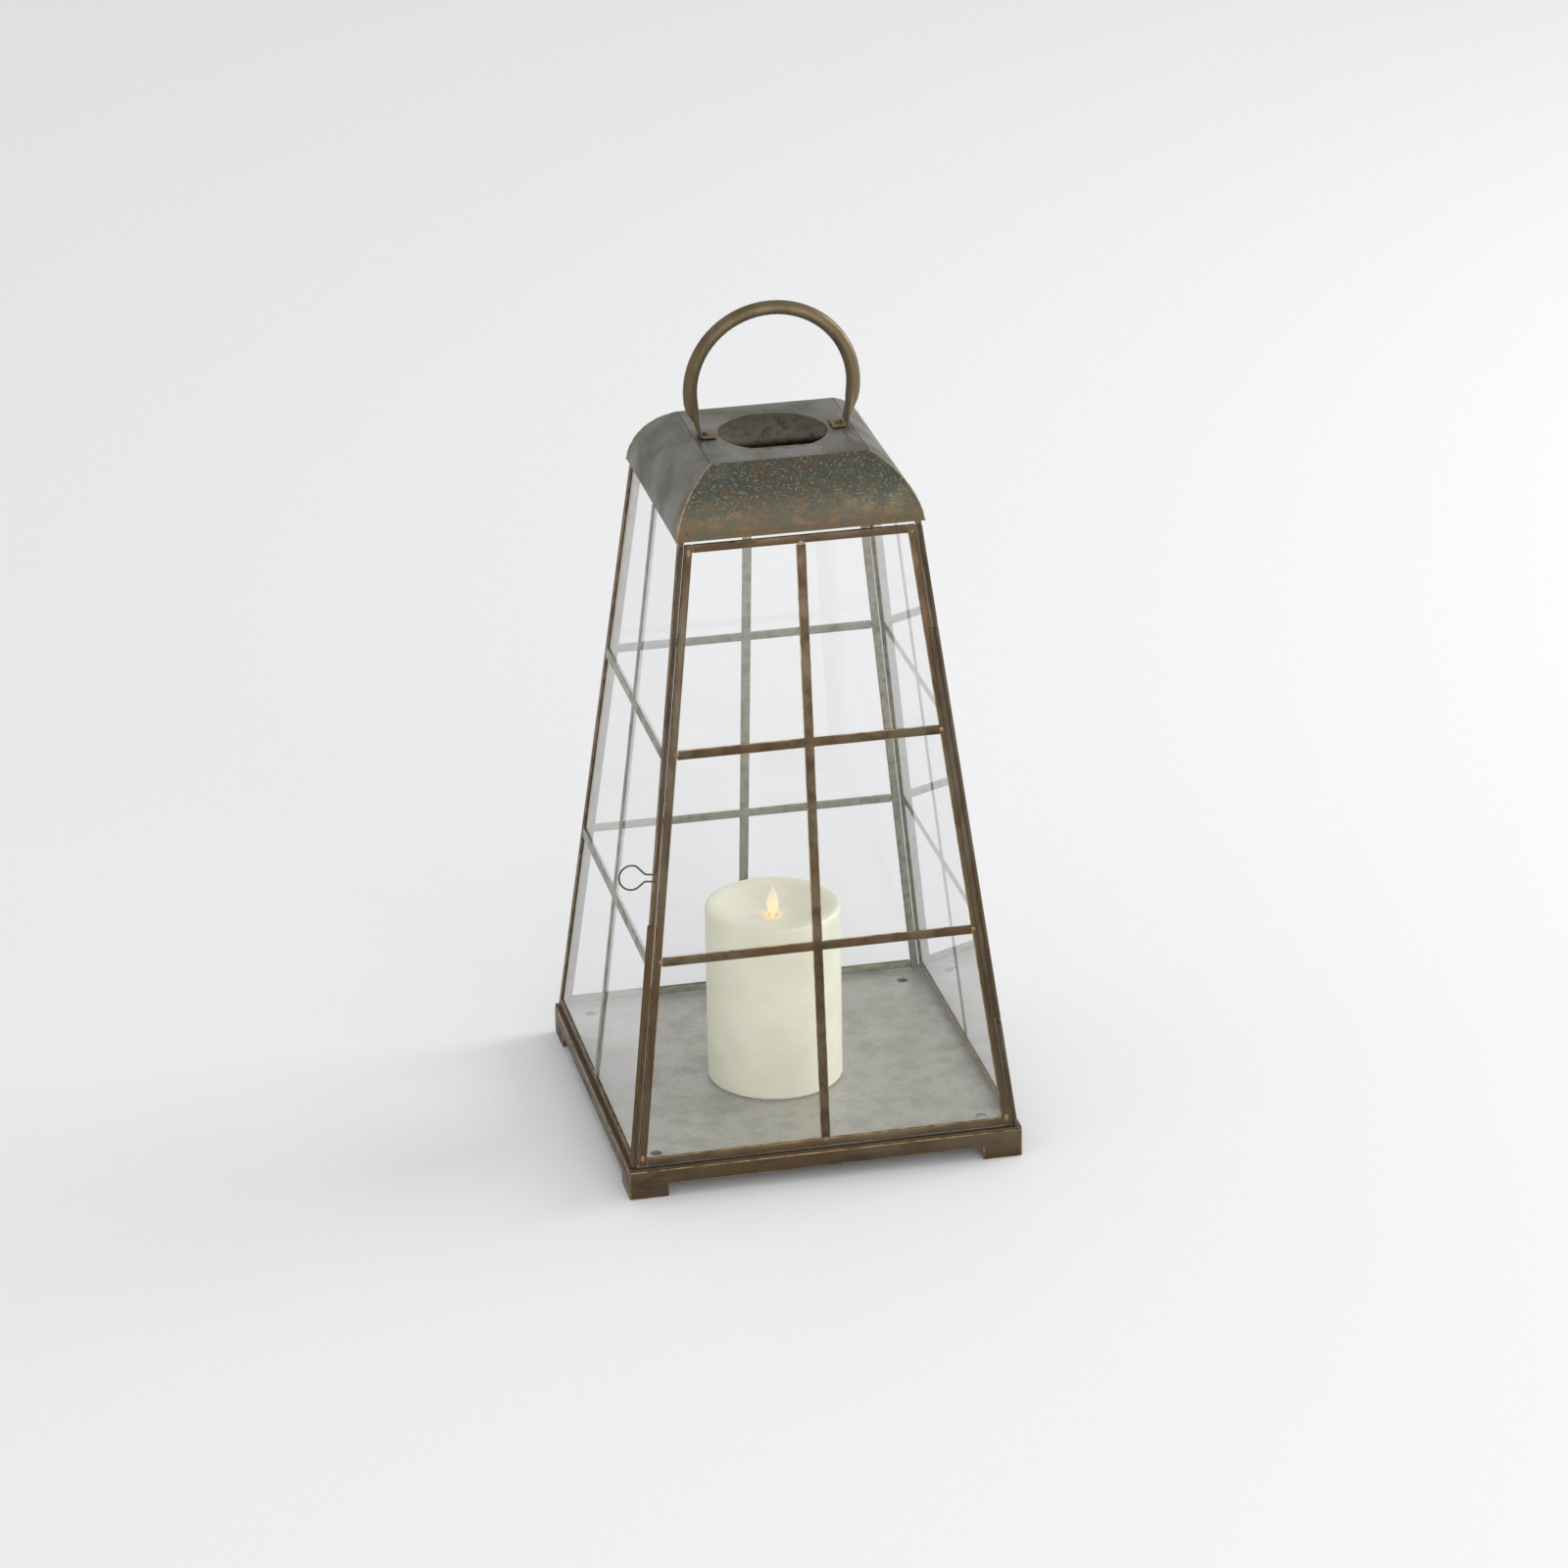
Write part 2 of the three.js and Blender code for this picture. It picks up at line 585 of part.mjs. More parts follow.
function roofFace() {
  const { centre, radius, start, end } = roofSection();
  const mitre = FIT_GAP / 2;
  const rings = [];
  for (let i = 0; i <= ROOF_STEPS; i++) {
    const angle = start + (end - start) * i / ROOF_STEPS;
    const at = (r) => ({ out: centre.x + r * Math.cos(angle), z: centre.y + r * Math.sin(angle) });
    const outer = at(radius);
    const inner = at(radius - ROOF_THICKNESS);
    rings.push([
      new THREE.Vector3(-outer.out + mitre, -outer.out, outer.z),
      new THREE.Vector3(outer.out - mitre, -outer.out, outer.z),
      new THREE.Vector3(inner.out - mitre, -inner.out, inner.z),
      new THREE.Vector3(-inner.out + mitre, -inner.out, inner.z),
    ]);
  }
  return loft(rings);
}

// The cap lies inside the top edge of the curved faces.
function roofCap() {
  const { centre, radius, end } = roofSection();
  const innerEdge = centre.x + (radius - ROOF_THICKNESS) * Math.cos(end);
  const half = innerEdge - FIT_GAP;
  const bottom = CAP_Z - ROOF_THICKNESS;
  const low = bottom - CUT_MARGIN;
  const high = CAP_Z + CUT_MARGIN;
  let cap = solidFrom(block(-half, half, -half, half, bottom, CAP_Z));
  cap = cap.subtract(solidFrom(uprightCylinder(VENT_RADIUS, low, high, VENT_SEGMENTS)));
  for (const side of [-1, 1]) {
    cap = cap.subtract(solidFrom(uprightCylinder(RIVET_HOLE, low, high, RIVET_SIDES, side * RIVET_X)));
  }
  return geometryFrom(cap);
}

function buildRoof() {
  const roof = new THREE.Group();
  ['front', 'right', 'back', 'left'].forEach((side, quarter) => {
    const face = piece(`roof_${side}`, roofFace(), agedBronze());
    face.rotation.z = quarter * Math.PI / 2;
    roof.add(face);
  });
  roof.add(piece('roof_cap', roofCap(), agedBronze()));
  return roof;
}

// ---------------------------------------------------------------- handle

// Half of the handle's centre line, from the top of the ring down to the end of the tab,
// each point with the direction across the tube in the handle's plane.
function handleHalfPath() {
  const path = [];
  const legAngle = -Math.asin(HANDLE_LEG_DROP / HANDLE_RING_RADIUS);
  for (let i = 0; i <= HANDLE_RING_STEPS; i++) {
    const angle = Math.PI / 2 + (legAngle - Math.PI / 2) * i / HANDLE_RING_STEPS;
    const x = HANDLE_RING_RADIUS * Math.cos(angle);
    const z = HANDLE_CENTRE_Z + HANDLE_RING_RADIUS * Math.sin(angle);
    path.push([x, z, angle]);
  }
  const tabZ = CAP_Z + FIT_GAP + TAB_THICKNESS / 2;
  const [legX, legZ] = path[path.length - 1];
  const bendZ = tabZ + TAB_BEND;
  const footX = legX - (legZ - bendZ) * Math.tan(-legAngle) / 2;
  path.push([footX, bendZ, legAngle / 2]);
  for (let i = 1; i <= TAB_BEND_STEPS; i++) {
    const turn = -(Math.PI / 2) * i / TAB_BEND_STEPS;
    path.push([footX - TAB_BEND + TAB_BEND * Math.cos(turn), bendZ + TAB_BEND * Math.sin(turn), turn]);
  }
  path.push([TAB_INNER_X, tabZ, -Math.PI / 2]);
  return path;
}

// The tube's section: round along the ring, pressed flat towards the tab.
function handleSection(z) {
  const share = THREE.MathUtils.smoothstep(z - CAP_Z, HANDLE_FLAT_RISE, HANDLE_ROUND_RISE);
  return {
    across: THREE.MathUtils.lerp(TAB_THICKNESS / 2, HANDLE_TUBE_RADIUS, share),
    wide: THREE.MathUtils.lerp(TAB_WIDTH / 2, HANDLE_TUBE_RADIUS, share),
    squareness: THREE.MathUtils.lerp(TAB_SQUARENESS, 1, share),
  };
}

function handle() {
  const half = handleHalfPath();
  const mirrored = half.slice(1).map(([x, z, angle]) => [-x, z, Math.PI - angle]);
  const path = [...half.reverse(), ...mirrored];
  const soften = (value, power) => Math.sign(value) * Math.abs(value) ** power;
  const rings = path.map(([x, z, angle]) => {
    const { across, wide, squareness } = handleSection(z);
    const ring = [];
    for (let j = 0; j < HANDLE_SIDES; j++) {
      const turn = (2 * Math.PI * (j + 0.5)) / HANDLE_SIDES;
      const a = across * soften(Math.cos(turn), squareness);
      const b = wide * soften(Math.sin(turn), squareness);
      ring.push(new THREE.Vector3(x + a * Math.cos(angle), b, z + a * Math.sin(angle)));
    }
    return ring;
  });
  let solid = solidFrom(loft(rings));
  for (const side of [-1, 1]) {
    const hole = uprightCylinder(RIVET_HOLE, CAP_Z, CAP_Z + 2 * TAB_THICKNESS, RIVET_SIDES, side * RIVET_X);
    solid = solid.subtract(solidFrom(hole));
  }
  return geometryFrom(solid);
}

function rivet() {
  const headFoot = CAP_Z + FIT_GAP + TAB_THICKNESS + FIT_GAP / 2;
  const tailTop = CAP_Z - ROOF_THICKNESS - FIT_GAP;
  const tailFoot = tailTop - RIVET_TAIL_HEIGHT;
  const profile = [
    [0, tailFoot], [RIVET_TAIL, tailFoot], [RIVET_TAIL, tailTop],
    [RIVET_SHANK, tailTop], [RIVET_SHANK, headFoot], [RIVET_HEAD, headFoot],
  ];
  for (let i = 1; i <= RIVET_HEAD_STEPS; i++) {
    const turn = (Math.PI / 2) * i / RIVET_HEAD_STEPS;
    profile.push([RIVET_HEAD * Math.cos(turn), headFoot + RIVET_HEAD_RISE * Math.sin(turn)]);
  }
  profile[profile.length - 1][0] = 0;
  return upright(profile, RIVET_SIDES);
}

// A turned solid about the Z axis from [radius, height] points.
function upright(profile, segments) {
  const geometry = new THREE.LatheGeometry(profile.map(([r, z]) => new THREE.Vector2(r, z)), segments);
  geometry.rotateX(Math.PI / 2);
  return geometryFrom(solidFrom(geometry));
}

function buildHandle() {
  const group = new THREE.Group();
  group.add(piece('handle', handle(), brassTube()));
  for (const [side, name] of [[-1, 'left'], [1, 'right']]) {
    const pin = piece(`handle_rivet_${name}`, rivet(), brassTube());
    pin.position.x = side * RIVET_X;
    group.add(pin);
  }
  return group;
}

// ---------------------------------------------------------------- candle

function candleBody() {
  const z0 = CANDLE_FOOT_Z;
  const z1 = CANDLE_TOP_Z;
  const inner = CANDLE_RADIUS - CANDLE_WALL;
  const ceiling = z1 - CANDLE_ROOF;
  const round = CANDLE_RIM_ROUND;
  const profile = [
    [0, ceiling], [inner, ceiling], [inner, z0], [CANDLE_RADIUS - CANDLE_FOOT_CHAMFER, z0],
    [CANDLE_RADIUS, z0 + CANDLE_FOOT_CHAMFER], [CANDLE_RADIUS, z1 - round],
  ];
  for (let i = 1; i <= CANDLE_RIM_STEPS; i++) {
    const turn = (Math.PI / 2) * i / CANDLE_RIM_STEPS;
    profile.push([CANDLE_RADIUS - round + round * Math.cos(turn), z1 - round + round * Math.sin(turn)]);
  }
  const dishRadius = CANDLE_RADIUS - CANDLE_RIM;
  for (let i = 0; i <= CANDLE_DISH_STEPS; i++) {
    const share = i / CANDLE_DISH_STEPS;
    const r = dishRadius + (WELL_RADIUS - dishRadius) * share;
    profile.push([r, z1 - CANDLE_DISH * Math.sin((Math.PI / 2) * share)]);
  }
  profile.push([WELL_RADIUS, DISH_Z - WELL_DEPTH], [0, DISH_Z - WELL_DEPTH]);
  return upright(profile, CANDLE_SIDES);
}

function candleBaseCap() {
  const radius = CANDLE_RADIUS - CANDLE_WALL - FIT_GAP;
  const low = CANDLE_FOOT_Z + BASE_CAP_INSET;
  const high = low + BASE_CAP_THICKNESS;
  return upright([[0, low], [radius, low], [radius, high], [0, high]], BASE_CAP_SIDES);
}

// A flat teardrop on a narrow stem that hangs on the pivot wire.
function flame() {
  const half = FLAME_WIDTH / 2;
  const outline = new THREE.Shape();
  const stemFoot = PIVOT_Z - FLAME_STEM_LENGTH;
  const shoulder = DISH_Z + 1;
  const widest = DISH_Z + FLAME_HEIGHT * FLAME_WIDEST;
  const tip = DISH_Z + FLAME_HEIGHT;
  outline.moveTo(-FLAME_STEM, stemFoot);
  outline.lineTo(FLAME_STEM, stemFoot);
  outline.lineTo(FLAME_STEM, shoulder);
  outline.bezierCurveTo(half * 0.8, shoulder + 2, half, widest - 4, half, widest);
  outline.bezierCurveTo(half, widest + 6, half * 0.28, tip - 5, FLAME_TIP_HALF, tip);
  outline.lineTo(-FLAME_TIP_HALF, tip);
  outline.bezierCurveTo(-half * 0.28, tip - 5, -half, widest + 6, -half, widest);
  outline.bezierCurveTo(-half, widest - 4, -half * 0.8, shoulder + 2, -FLAME_STEM, shoulder);
  outline.lineTo(-FLAME_STEM, stemFoot);
  const depth = FLAME_THICKNESS;
  const geometry = new THREE.ExtrudeGeometry(outline, { depth, bevelEnabled: false, curveSegments: 8 });
  geometry.rotateX(Math.PI / 2);
  geometry.translate(0, depth / 2, 0);
  const hole = new THREE.CylinderGeometry(PIVOT_HOLE, PIVOT_HOLE, 2 * FLAME_STEM + CUT_MARGIN, PIVOT_SIDES);
  hole.rotateZ(Math.PI / 2);
  hole.translate(0, 0, PIVOT_Z);
  return geometryFrom(solidFrom(geometry).subtract(solidFrom(hole)));
}

function pivotWire() {
  const length = 2 * (WELL_RADIUS - FIT_GAP);
  const geometry = new THREE.CylinderGeometry(PIVOT_RADIUS, PIVOT_RADIUS, length, PIVOT_SIDES);
  geometry.rotateZ(Math.PI / 2);
  geometry.translate(0, 0, PIVOT_Z);
  return geometry;
}

function flameWeight() {
  const top = PIVOT_Z - FLAME_STEM_LENGTH - FIT_GAP;
  return uprightCylinder(WEIGHT_RADIUS, top - WEIGHT_HEIGHT, top, WEIGHT_SIDES);
}

function buildCandle() {
  const candle = new THREE.Group();
  candle.position.set(CANDLE_CENTRE[0], CANDLE_CENTRE[1], 0);
  candle.add(
    piece('candle_body', candleBody(), wax()),
    piece('candle_base_cap', candleBaseCap(), basePlastic()),
    piece('candle_flame', flame(), flamePlastic()),
    piece('candle_pivot_wire', pivotWire(), steel()),
    piece('candle_flame_weight', flameWeight(), steel()),
  );
  return candle;
}

// ---------------------------------------------------------------- the whole lantern

const lantern = new THREE.Group();
lantern.add(buildBase(), buildWalls(), buildHingeAndLatch(), buildRoof(), buildHandle(), buildCandle());

export default lantern;
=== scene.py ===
"""The looks of a candle lantern: a patinated metal frame, clear panes, a curved roof and a pillar candle.

Each operator finishes one piece or one group of like pieces over the CAD frame, and the stage operator
sets the floor, the lights and the camera.
"""

import math

import bpy
from mathutils import Matrix, Vector


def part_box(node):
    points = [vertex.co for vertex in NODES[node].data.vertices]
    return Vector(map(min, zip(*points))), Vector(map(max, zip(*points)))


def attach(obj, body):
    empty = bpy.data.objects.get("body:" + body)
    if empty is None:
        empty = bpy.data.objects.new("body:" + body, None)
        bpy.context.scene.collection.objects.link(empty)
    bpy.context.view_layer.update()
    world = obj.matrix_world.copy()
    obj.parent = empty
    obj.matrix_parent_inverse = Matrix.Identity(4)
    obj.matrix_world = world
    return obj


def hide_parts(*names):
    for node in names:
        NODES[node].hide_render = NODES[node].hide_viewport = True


bl_info = {
    "name": "Candle lantern",
    "version": (1, 0, 0),
    "blender": (4, 5, 0),
    "location": "View3D > Sidebar > Lantern",
    "description": "Finishes a tapered glass candle lantern over its CAD frame",
    "category": "Object",
}

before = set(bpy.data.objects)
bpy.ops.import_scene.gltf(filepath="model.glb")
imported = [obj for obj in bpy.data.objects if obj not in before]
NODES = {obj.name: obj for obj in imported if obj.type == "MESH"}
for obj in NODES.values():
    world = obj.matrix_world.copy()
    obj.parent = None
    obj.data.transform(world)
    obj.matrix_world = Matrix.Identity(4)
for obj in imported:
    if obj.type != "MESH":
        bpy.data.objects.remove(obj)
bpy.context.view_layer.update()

MM = 0.001
WALL_SLOPE = 0.1228          # how far a wall leans in for each unit of height
WALL_FOOT_HALF = 127.5 * MM  # half the body's width where the walls stand on the tray
WALL_FOOT_Z = 22 * MM
BAR_HEIGHTS = (156.5 * MM, 290.5 * MM)
FRAME_STRIP = 5 * MM         # width of a stile or rail
DOOR_MARGIN = 4.2 * MM       # the door and the back wall stop this far short of each corner
SIDE_TOP_Z = 429 * MM
DOOR_TOP_Z = 424.3 * MM
ROOF_BULGE = 6.2 * MM
ROOF_WANDER = 26 * MM        # how far the roof's two colours wander into each other
SEAM_RISE = 0.05 * MM        # how far the corner seams stand out of the sheet
CAP_SPREAD = 0.42 * MM       # the cap is drawn out this far, to cover the gap round it
WAX_WALL = 6 * MM
WAX_ROOF = 28 * MM           # thickness of the wax above the hollow
DISH_INSET = 5 * MM          # width of the candle's rim
DISH_DEPTH = 8 * MM
WELL_RADIUS = 4.4 * MM       # the hole the flame stands in
WELL_DEPTH = 15 * MM
FOOT_EDGE = 1.5 * MM
RIM_STEPS = 6
DISH_STEPS = 16
TRAY_RIM = 126.3 * MM        # outside this, the tray is bronze like its skirts
EVEN = (1, 1, 1)
UPRIGHT = (1, 1, 0.28)       # a pattern drawn out along upright pieces
LEVEL = (0.38, 0.38, 1.2)    # a pattern drawn out along level pieces
DRAWN = (0.65, 0.65, 1.1)    # a pattern slightly drawn out sideways
WALLS = {"door": 0, "wall_right": 1, "wall_back": 2, "wall_left": 3}
FRAME_PARTS = ("stile_left", "stile_right", "rail_bottom", "rail_top", "bars")
FULL_TURN = 2 * math.pi
QUARTER_TURN = math.pi / 2

# making meshes
MERGE_GAP = 0.02 * MM        # corners closer than this are one corner
FLAT_ANGLE = 0.4             # faces that bend less than this are one face, in degrees
SMOOTH_ANGLE = 35            # edges sharper than this stay sharp, in degrees
SPUN_MERGE_GAP = 0.01 * MM
CANDLE_SIDES = 128
CAP_EDGE = 0.3 * MM          # widths of softened edges
RIVET_EDGE = 0.5 * MM
FLAME_EDGE = 0.55 * MM
SEAM_STEPS = 26              # rings along one corner seam
SEAM_SIDES = 10
SOLDER_SIDES = 16
SOLDER_RINGS = 10
SOLDER_FLATNESS = 0.14       # a drop's thickness, as a share of its width
SOLDER_SINK = 0.1 * MM       # a drop's middle lies this far behind the wall's outer face
RIM_REACH = 0.1 * MM         # corners this close to the cap's edge belong to its rim

# making materials
NOISE_BAND = (0.3, 0.7)      # noise values that roughness is spread over
METAL_ROUGHNESS = (0.34, 0.56)
PLASTIC_ROUGHNESS = (0.4, 0.52)
WAX_ROUGHNESS = (0.42, 0.56)
FLAME_ROUGHNESS = (0.3, 0.45)
DRIFT_SCALE = 0.24           # how fine the sheen is, beside the stains
FLECK_SCALE = 5.3            # how fine the flecks are, beside the stains
SHEEN_BAND = (0.42, 0.6)     # noise values over which the ground turns into the sheen
STAIN_SOFTNESS = 0.15        # half the band of noise values at a stain's edge
FLECK_SOFTNESS = 0.05
INWARD_BAND = (-0.45, -0.3)  # faces below this band look inwards, faces above it don't
WANDER_SCALE = 42
UPPER_START = 0.4            # shares of the wander, above a roof face's foot and its top,
UPPER_FULL = 0.2             # between which the upper colour sets in
RELIEF_DEPTH = 0.3 * MM
RIM_BLEND = 0.5 * MM         # half the width over which the tray's zinc turns to bronze
GLASS_TINT = (0.965, 0.97, 0.975, 1)
PASSING_TINT = (0.93, 0.94, 0.94, 1)
WAX_PALER = 1.02
WAX_DARKER = 0.96
WAX_GLOW = 0.22
GLOW_NEAR = 3 * MM           # the wax glows fully this close to the flame's foot
GLOW_FAR = 10 * MM           # and not at all further away than this
FLAME_GLOW = 0.48
GREY = (0.5, 0.5, 0.5, 1)
NO_GLOW = (0, 0, 0, 1)
FLAME_PALE = (0.95, 0.84, 0.66, 1)
FLAME_TIP_GLOW = (0.3, 0.22, 0.13, 1)

# the studio
FLOOR_WIDTH = 30
BACKDROP_COLOUR = (0.985, 0.99, 1.0, 1)
BACKDROP_STRENGTH = 0.775
SENSOR_WIDTH = 36
VIEW_REACH = 50
LAMP_AIM = Vector((0, 0, 0.2))
LAMPS = (
    # name, place, width, power
    ("key lamp", (3.2, 0.5, 1.45), 1.3, 52),
    ("fill lamp", (0.5, -3.3, 1.4), 2.4, 34),
)


# ---------------------------------------------------------------- settings


def shade(red, green, blue):
    """A colour given in display values from 0 to 255, as the linear colour that shaders use."""
    return tuple(
        (v / 255 / 12.92) if v <= 10 else (((v / 255) + 0.055) / 1.055) ** 2.4
        for v in (red, green, blue)
    )


def colour_property(name, description, red, green, blue):
    return bpy.props.FloatVectorProperty(
        name=name,
        description=description,
        default=shade(red, green, blue),
        subtype="COLOR",
        size=3,
        min=0,
        max=1,
    )


def length_property(name, description, value):
    return bpy.props.FloatProperty(
        name=name, description=description, default=value, min=0, unit="LENGTH", precision=5
    )


class LanternSizes(bpy.types.PropertyGroup):
    # The worn edges take the worn gold, which is wear together with a painted highlight along each edge.
    strip_edge: length_property("Strip edge", "Width of the worn edge of stiles, rails and bars", 0.55 * MM)
    skirt_edge: length_property("Skirt edge", "Width of the worn edge of the base skirts", 0.7 * MM)
    seam_radius: length_property("Seam radius", "Radius of the seam down each corner of the roof", 0.6 * MM)
    solder_radius: length_property("Solder radius", "Radius of the solder at a bar's end", 1.9 * MM)
    wax_edge: length_property("Wax edge", "Radius of the rounded rim of the candle", 2.6 * MM)


class LanternColours(bpy.types.PropertyGroup):
    bronze: colour_property("Bronze", "Main colour of the frame", 94, 75, 53)
    bronze_dark: colour_property("Bronze stain", "Dark stain on the frame", 78, 63, 46)
    bronze_sheen: colour_property("Bronze sheen", "Greyer stretches of the frame", 100, 88, 71)
    # Bar grey is a painted reflection: the bright surroundings seen at a grazing angle, laid into the outer
    # colour of the fixed walls' bars.
    bar_reflection_grey: colour_property("Bar grey", "Outer side of the fixed walls' bars", 160, 158, 149)
    bar_dark: colour_property("Bar stain", "Stain on the fixed walls' bars", 136, 132, 121)
    inside_pale: colour_property("Inside", "Grey-green metal on faces that look inwards", 164, 164, 144)
    inside_dark: colour_property("Inside stain", "Stain on faces that look inwards", 126, 126, 108)
    # Worn gold: bare metal on worn edges together with a painted highlight that the edges catch.
    gold: colour_property("Worn gold", "Bare metal on worn edges", 178, 152, 108)
    verdigris: colour_property("Verdigris", "Pale green-grey flecks", 130, 135, 115)
    olive: colour_property("Olive", "Upper part of the roof's front and back", 94, 92, 74)
    slate: colour_property("Slate", "Dark stain near the top of the roof", 76, 76, 70)
    rust: colour_property("Rust brown", "Lower part of the roof's front and back", 98, 78, 54)
    satin: colour_property("Satin", "The roof's smoother sides and its cap", 118, 115, 107)
    satin_dark: colour_property("Satin stain", "Stain on the roof's smoother sides", 104, 100, 91)
    vent_shade: colour_property("Roof inside", "Inside of the roof", 126, 121, 108)
    zinc: colour_property("Zinc", "Floor plate", 178, 176, 166)
    zinc_dark: colour_property("Zinc stain", "Stain on the floor plate", 160, 157, 146)
    solder: colour_property("Solder", "Solder at the joints", 148, 124, 94)
    handle: colour_property("Handle", "Aged brass of the handle", 118, 104, 80)
    wire: colour_property("Wire", "Dark wire of the latch", 92, 68, 48)
    wax: colour_property("Wax", "Ivory wax", 248, 243, 219)
    plastic: colour_property("Plastic", "Candle's base cap", 232, 228, 212)
    glow: colour_property("Glow", "Warm light at the flame's foot", 255, 190, 92)
    floor: colour_property("Floor", "Studio floor", 240, 240, 240)


class LanternStudio(bpy.types.PropertyGroup):
    lens: bpy.props.FloatProperty(
        name="Lens", description="Focal length of the camera", default=134.49, unit="CAMERA"
    )
    heading: bpy.props.FloatProperty(
        name="Heading",
        description="Turn of the camera's line of sight from straight ahead",
        default=math.radians(12.283),
        subtype="ANGLE",
    )
    dip: bpy.props.FloatProperty(
        name="Dip",
        description="How far the camera looks down",
        default=math.radians(23.138),
        subtype="ANGLE",
    )
    roll: bpy.props.FloatProperty(
        name="Roll",
        description="Tilt of the camera about its line of sight",
        default=math.radians(-0.924),
        subtype="ANGLE",
    )
    place: bpy.props.FloatVectorProperty(
        name="Place",
        description="Where the camera stands",
        default=(-0.7421, -3.4258, 1.7207),
        subtype="TRANSLATION",
        unit="LENGTH",
        size=3,
    )


# ---------------------------------------------------------------- mesh helpers


def deselect_all():
    if bpy.context.object and bpy.context.object.mode != "OBJECT":
        bpy.ops.object.mode_set(mode="OBJECT")
    bpy.ops.object.select_all(action="DESELECT")


def pick(obj):
    """Makes obj the one selected and active object."""
    deselect_all()
    obj.select_set(True)
    bpy.context.view_layer.objects.active = obj


def settle(obj):
    """Moves obj's place, turn and scale into its mesh."""
    pick(obj)
    bpy.ops.object.transform_apply(location=True, rotation=True, scale=True)


def merged_copy(node, name):
    """A new piece in the shape of a CAD node, with its loose triangles joined into one skin."""
    piece = bpy.data.objects.new(name, NODES[node].data.copy())
    bpy.context.scene.collection.objects.link(piece)
    piece.data.materials.clear()
    pick(piece)
    bpy.ops.object.mode_set(mode="EDIT")
    bpy.ops.mesh.select_all(action="SELECT")
    bpy.ops.mesh.remove_doubles(threshold=MERGE_GAP)
    bpy.ops.mesh.dissolve_limited(angle_limit=math.radians(FLAT_ANGLE))
    bpy.ops.object.mode_set(mode="OBJECT")
    return piece


def soften_edges(piece, width, angle=40, segments=2, edge_material=-1):
    """Rounds the sharp edges. The new faces can take the piece's second material."""
    pick(piece)
    bevel = piece.modifiers.new("Softened edges", "BEVEL")
    bevel.width = width
    bevel.segments = segments
    bevel.limit_method = "ANGLE"
    bevel.angle_limit = math.radians(angle)
    bevel.material = edge_material
    bpy.ops.object.modifier_apply(modifier=bevel.name)
    smooth(piece, SMOOTH_ANGLE)


def smooth(piece, angle):
    pick(piece)
    bpy.ops.object.shade_smooth_by_angle(angle=math.radians(angle))


def give(piece, body, slot, *nodes):
    """Hands a finished piece to its body, in place of CAD nodes. The slot is not used."""
    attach(piece, body)
    if nodes:
        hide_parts(*nodes)
    return piece


def paint(obj, *materials):
    obj.data.materials.clear()
    for material in materials:
        obj.data.materials.append(material)


def join(pieces, name):
    deselect_all()
    for piece in pieces:
        piece.select_set(True)
    bpy.context.view_layer.objects.active = pieces[0]
    if len(pieces) > 1:
        bpy.ops.object.join()
    joined = bpy.context.view_layer.objects.active
    joined.name = name
    joined.data.name = name
    return joined


def wall_half(z):
    return WALL_FOOT_HALF - WALL_SLOPE * (z - WALL_FOOT_Z)


# ---------------------------------------------------------------- node helpers


class Nodes:
    """Adds nodes to a tree and links them, so that a material reads as a list of steps."""

    def __init__(self, tree):
        self.tree = tree

    def add(self, kind, inputs=None, **settings):
        node = self.tree.nodes.new(kind)
        for key, value in settings.items():
            setattr(node, key, value)
        for key, value in (inputs or {}).items():
            socket = node.inputs[key]
            if isinstance(value, bpy.types.NodeSocket):
                self.tree.links.new(value, socket)
            else:
                socket.default_value = value
        return node

    def object_place(self):
        return self.add("ShaderNodeTexCoord").outputs["Object"]

    def noise(self, place, scale, detail=6, roughness=0.6):
        inputs = {"Vector": place, "Scale": scale, "Detail": detail, "Roughness": roughness}
        return self.add("ShaderNodeTexNoise", inputs).outputs["Fac"]

    def maths(self, operation, first, second):
        return self.add("ShaderNodeMath", {0: first, 1: second}, operation=operation).outputs[0]

    def spread(self, value, low, high, out_low=0.0, out_high=1.0):
        inputs = {"Value": value, "From Min": low, "From Max": high, "To Min": out_low, "To Max": out_high}
        return self.add("ShaderNodeMapRange", inputs, interpolation_type="SMOOTHSTEP").outputs["Result"]

    def blend(self, share, first, second):
        node = self.add("ShaderNodeMix", data_type="RGBA")
        for socket, value in ((node.inputs[0], share), (node.inputs[6], first), (node.inputs[7], second)):
            if isinstance(value, bpy.types.NodeSocket):
                self.tree.links.new(value, socket)
            else:
                socket.default_value = value
        return node.outputs[2]


def rgba(colour):
    return (*colour, 1.0)


def new_group(name, inputs, outputs):
    """A shader node group with named sockets. Returns its Nodes and the sockets it is given and makes."""
    tree = bpy.data.node_groups.new(name, "ShaderNodeTree")
    for label, kind, value in inputs:
        socket = tree.interface.new_socket(label, in_out="INPUT", socket_type=kind)
        socket.default_value = value
    for label, kind in outputs:
        tree.interface.new_socket(label, in_out="OUTPUT", socket_type=kind)
    nodes = Nodes(tree)
    return nodes, nodes.add("NodeGroupInput").outputs, nodes.add("NodeGroupOutput").inputs


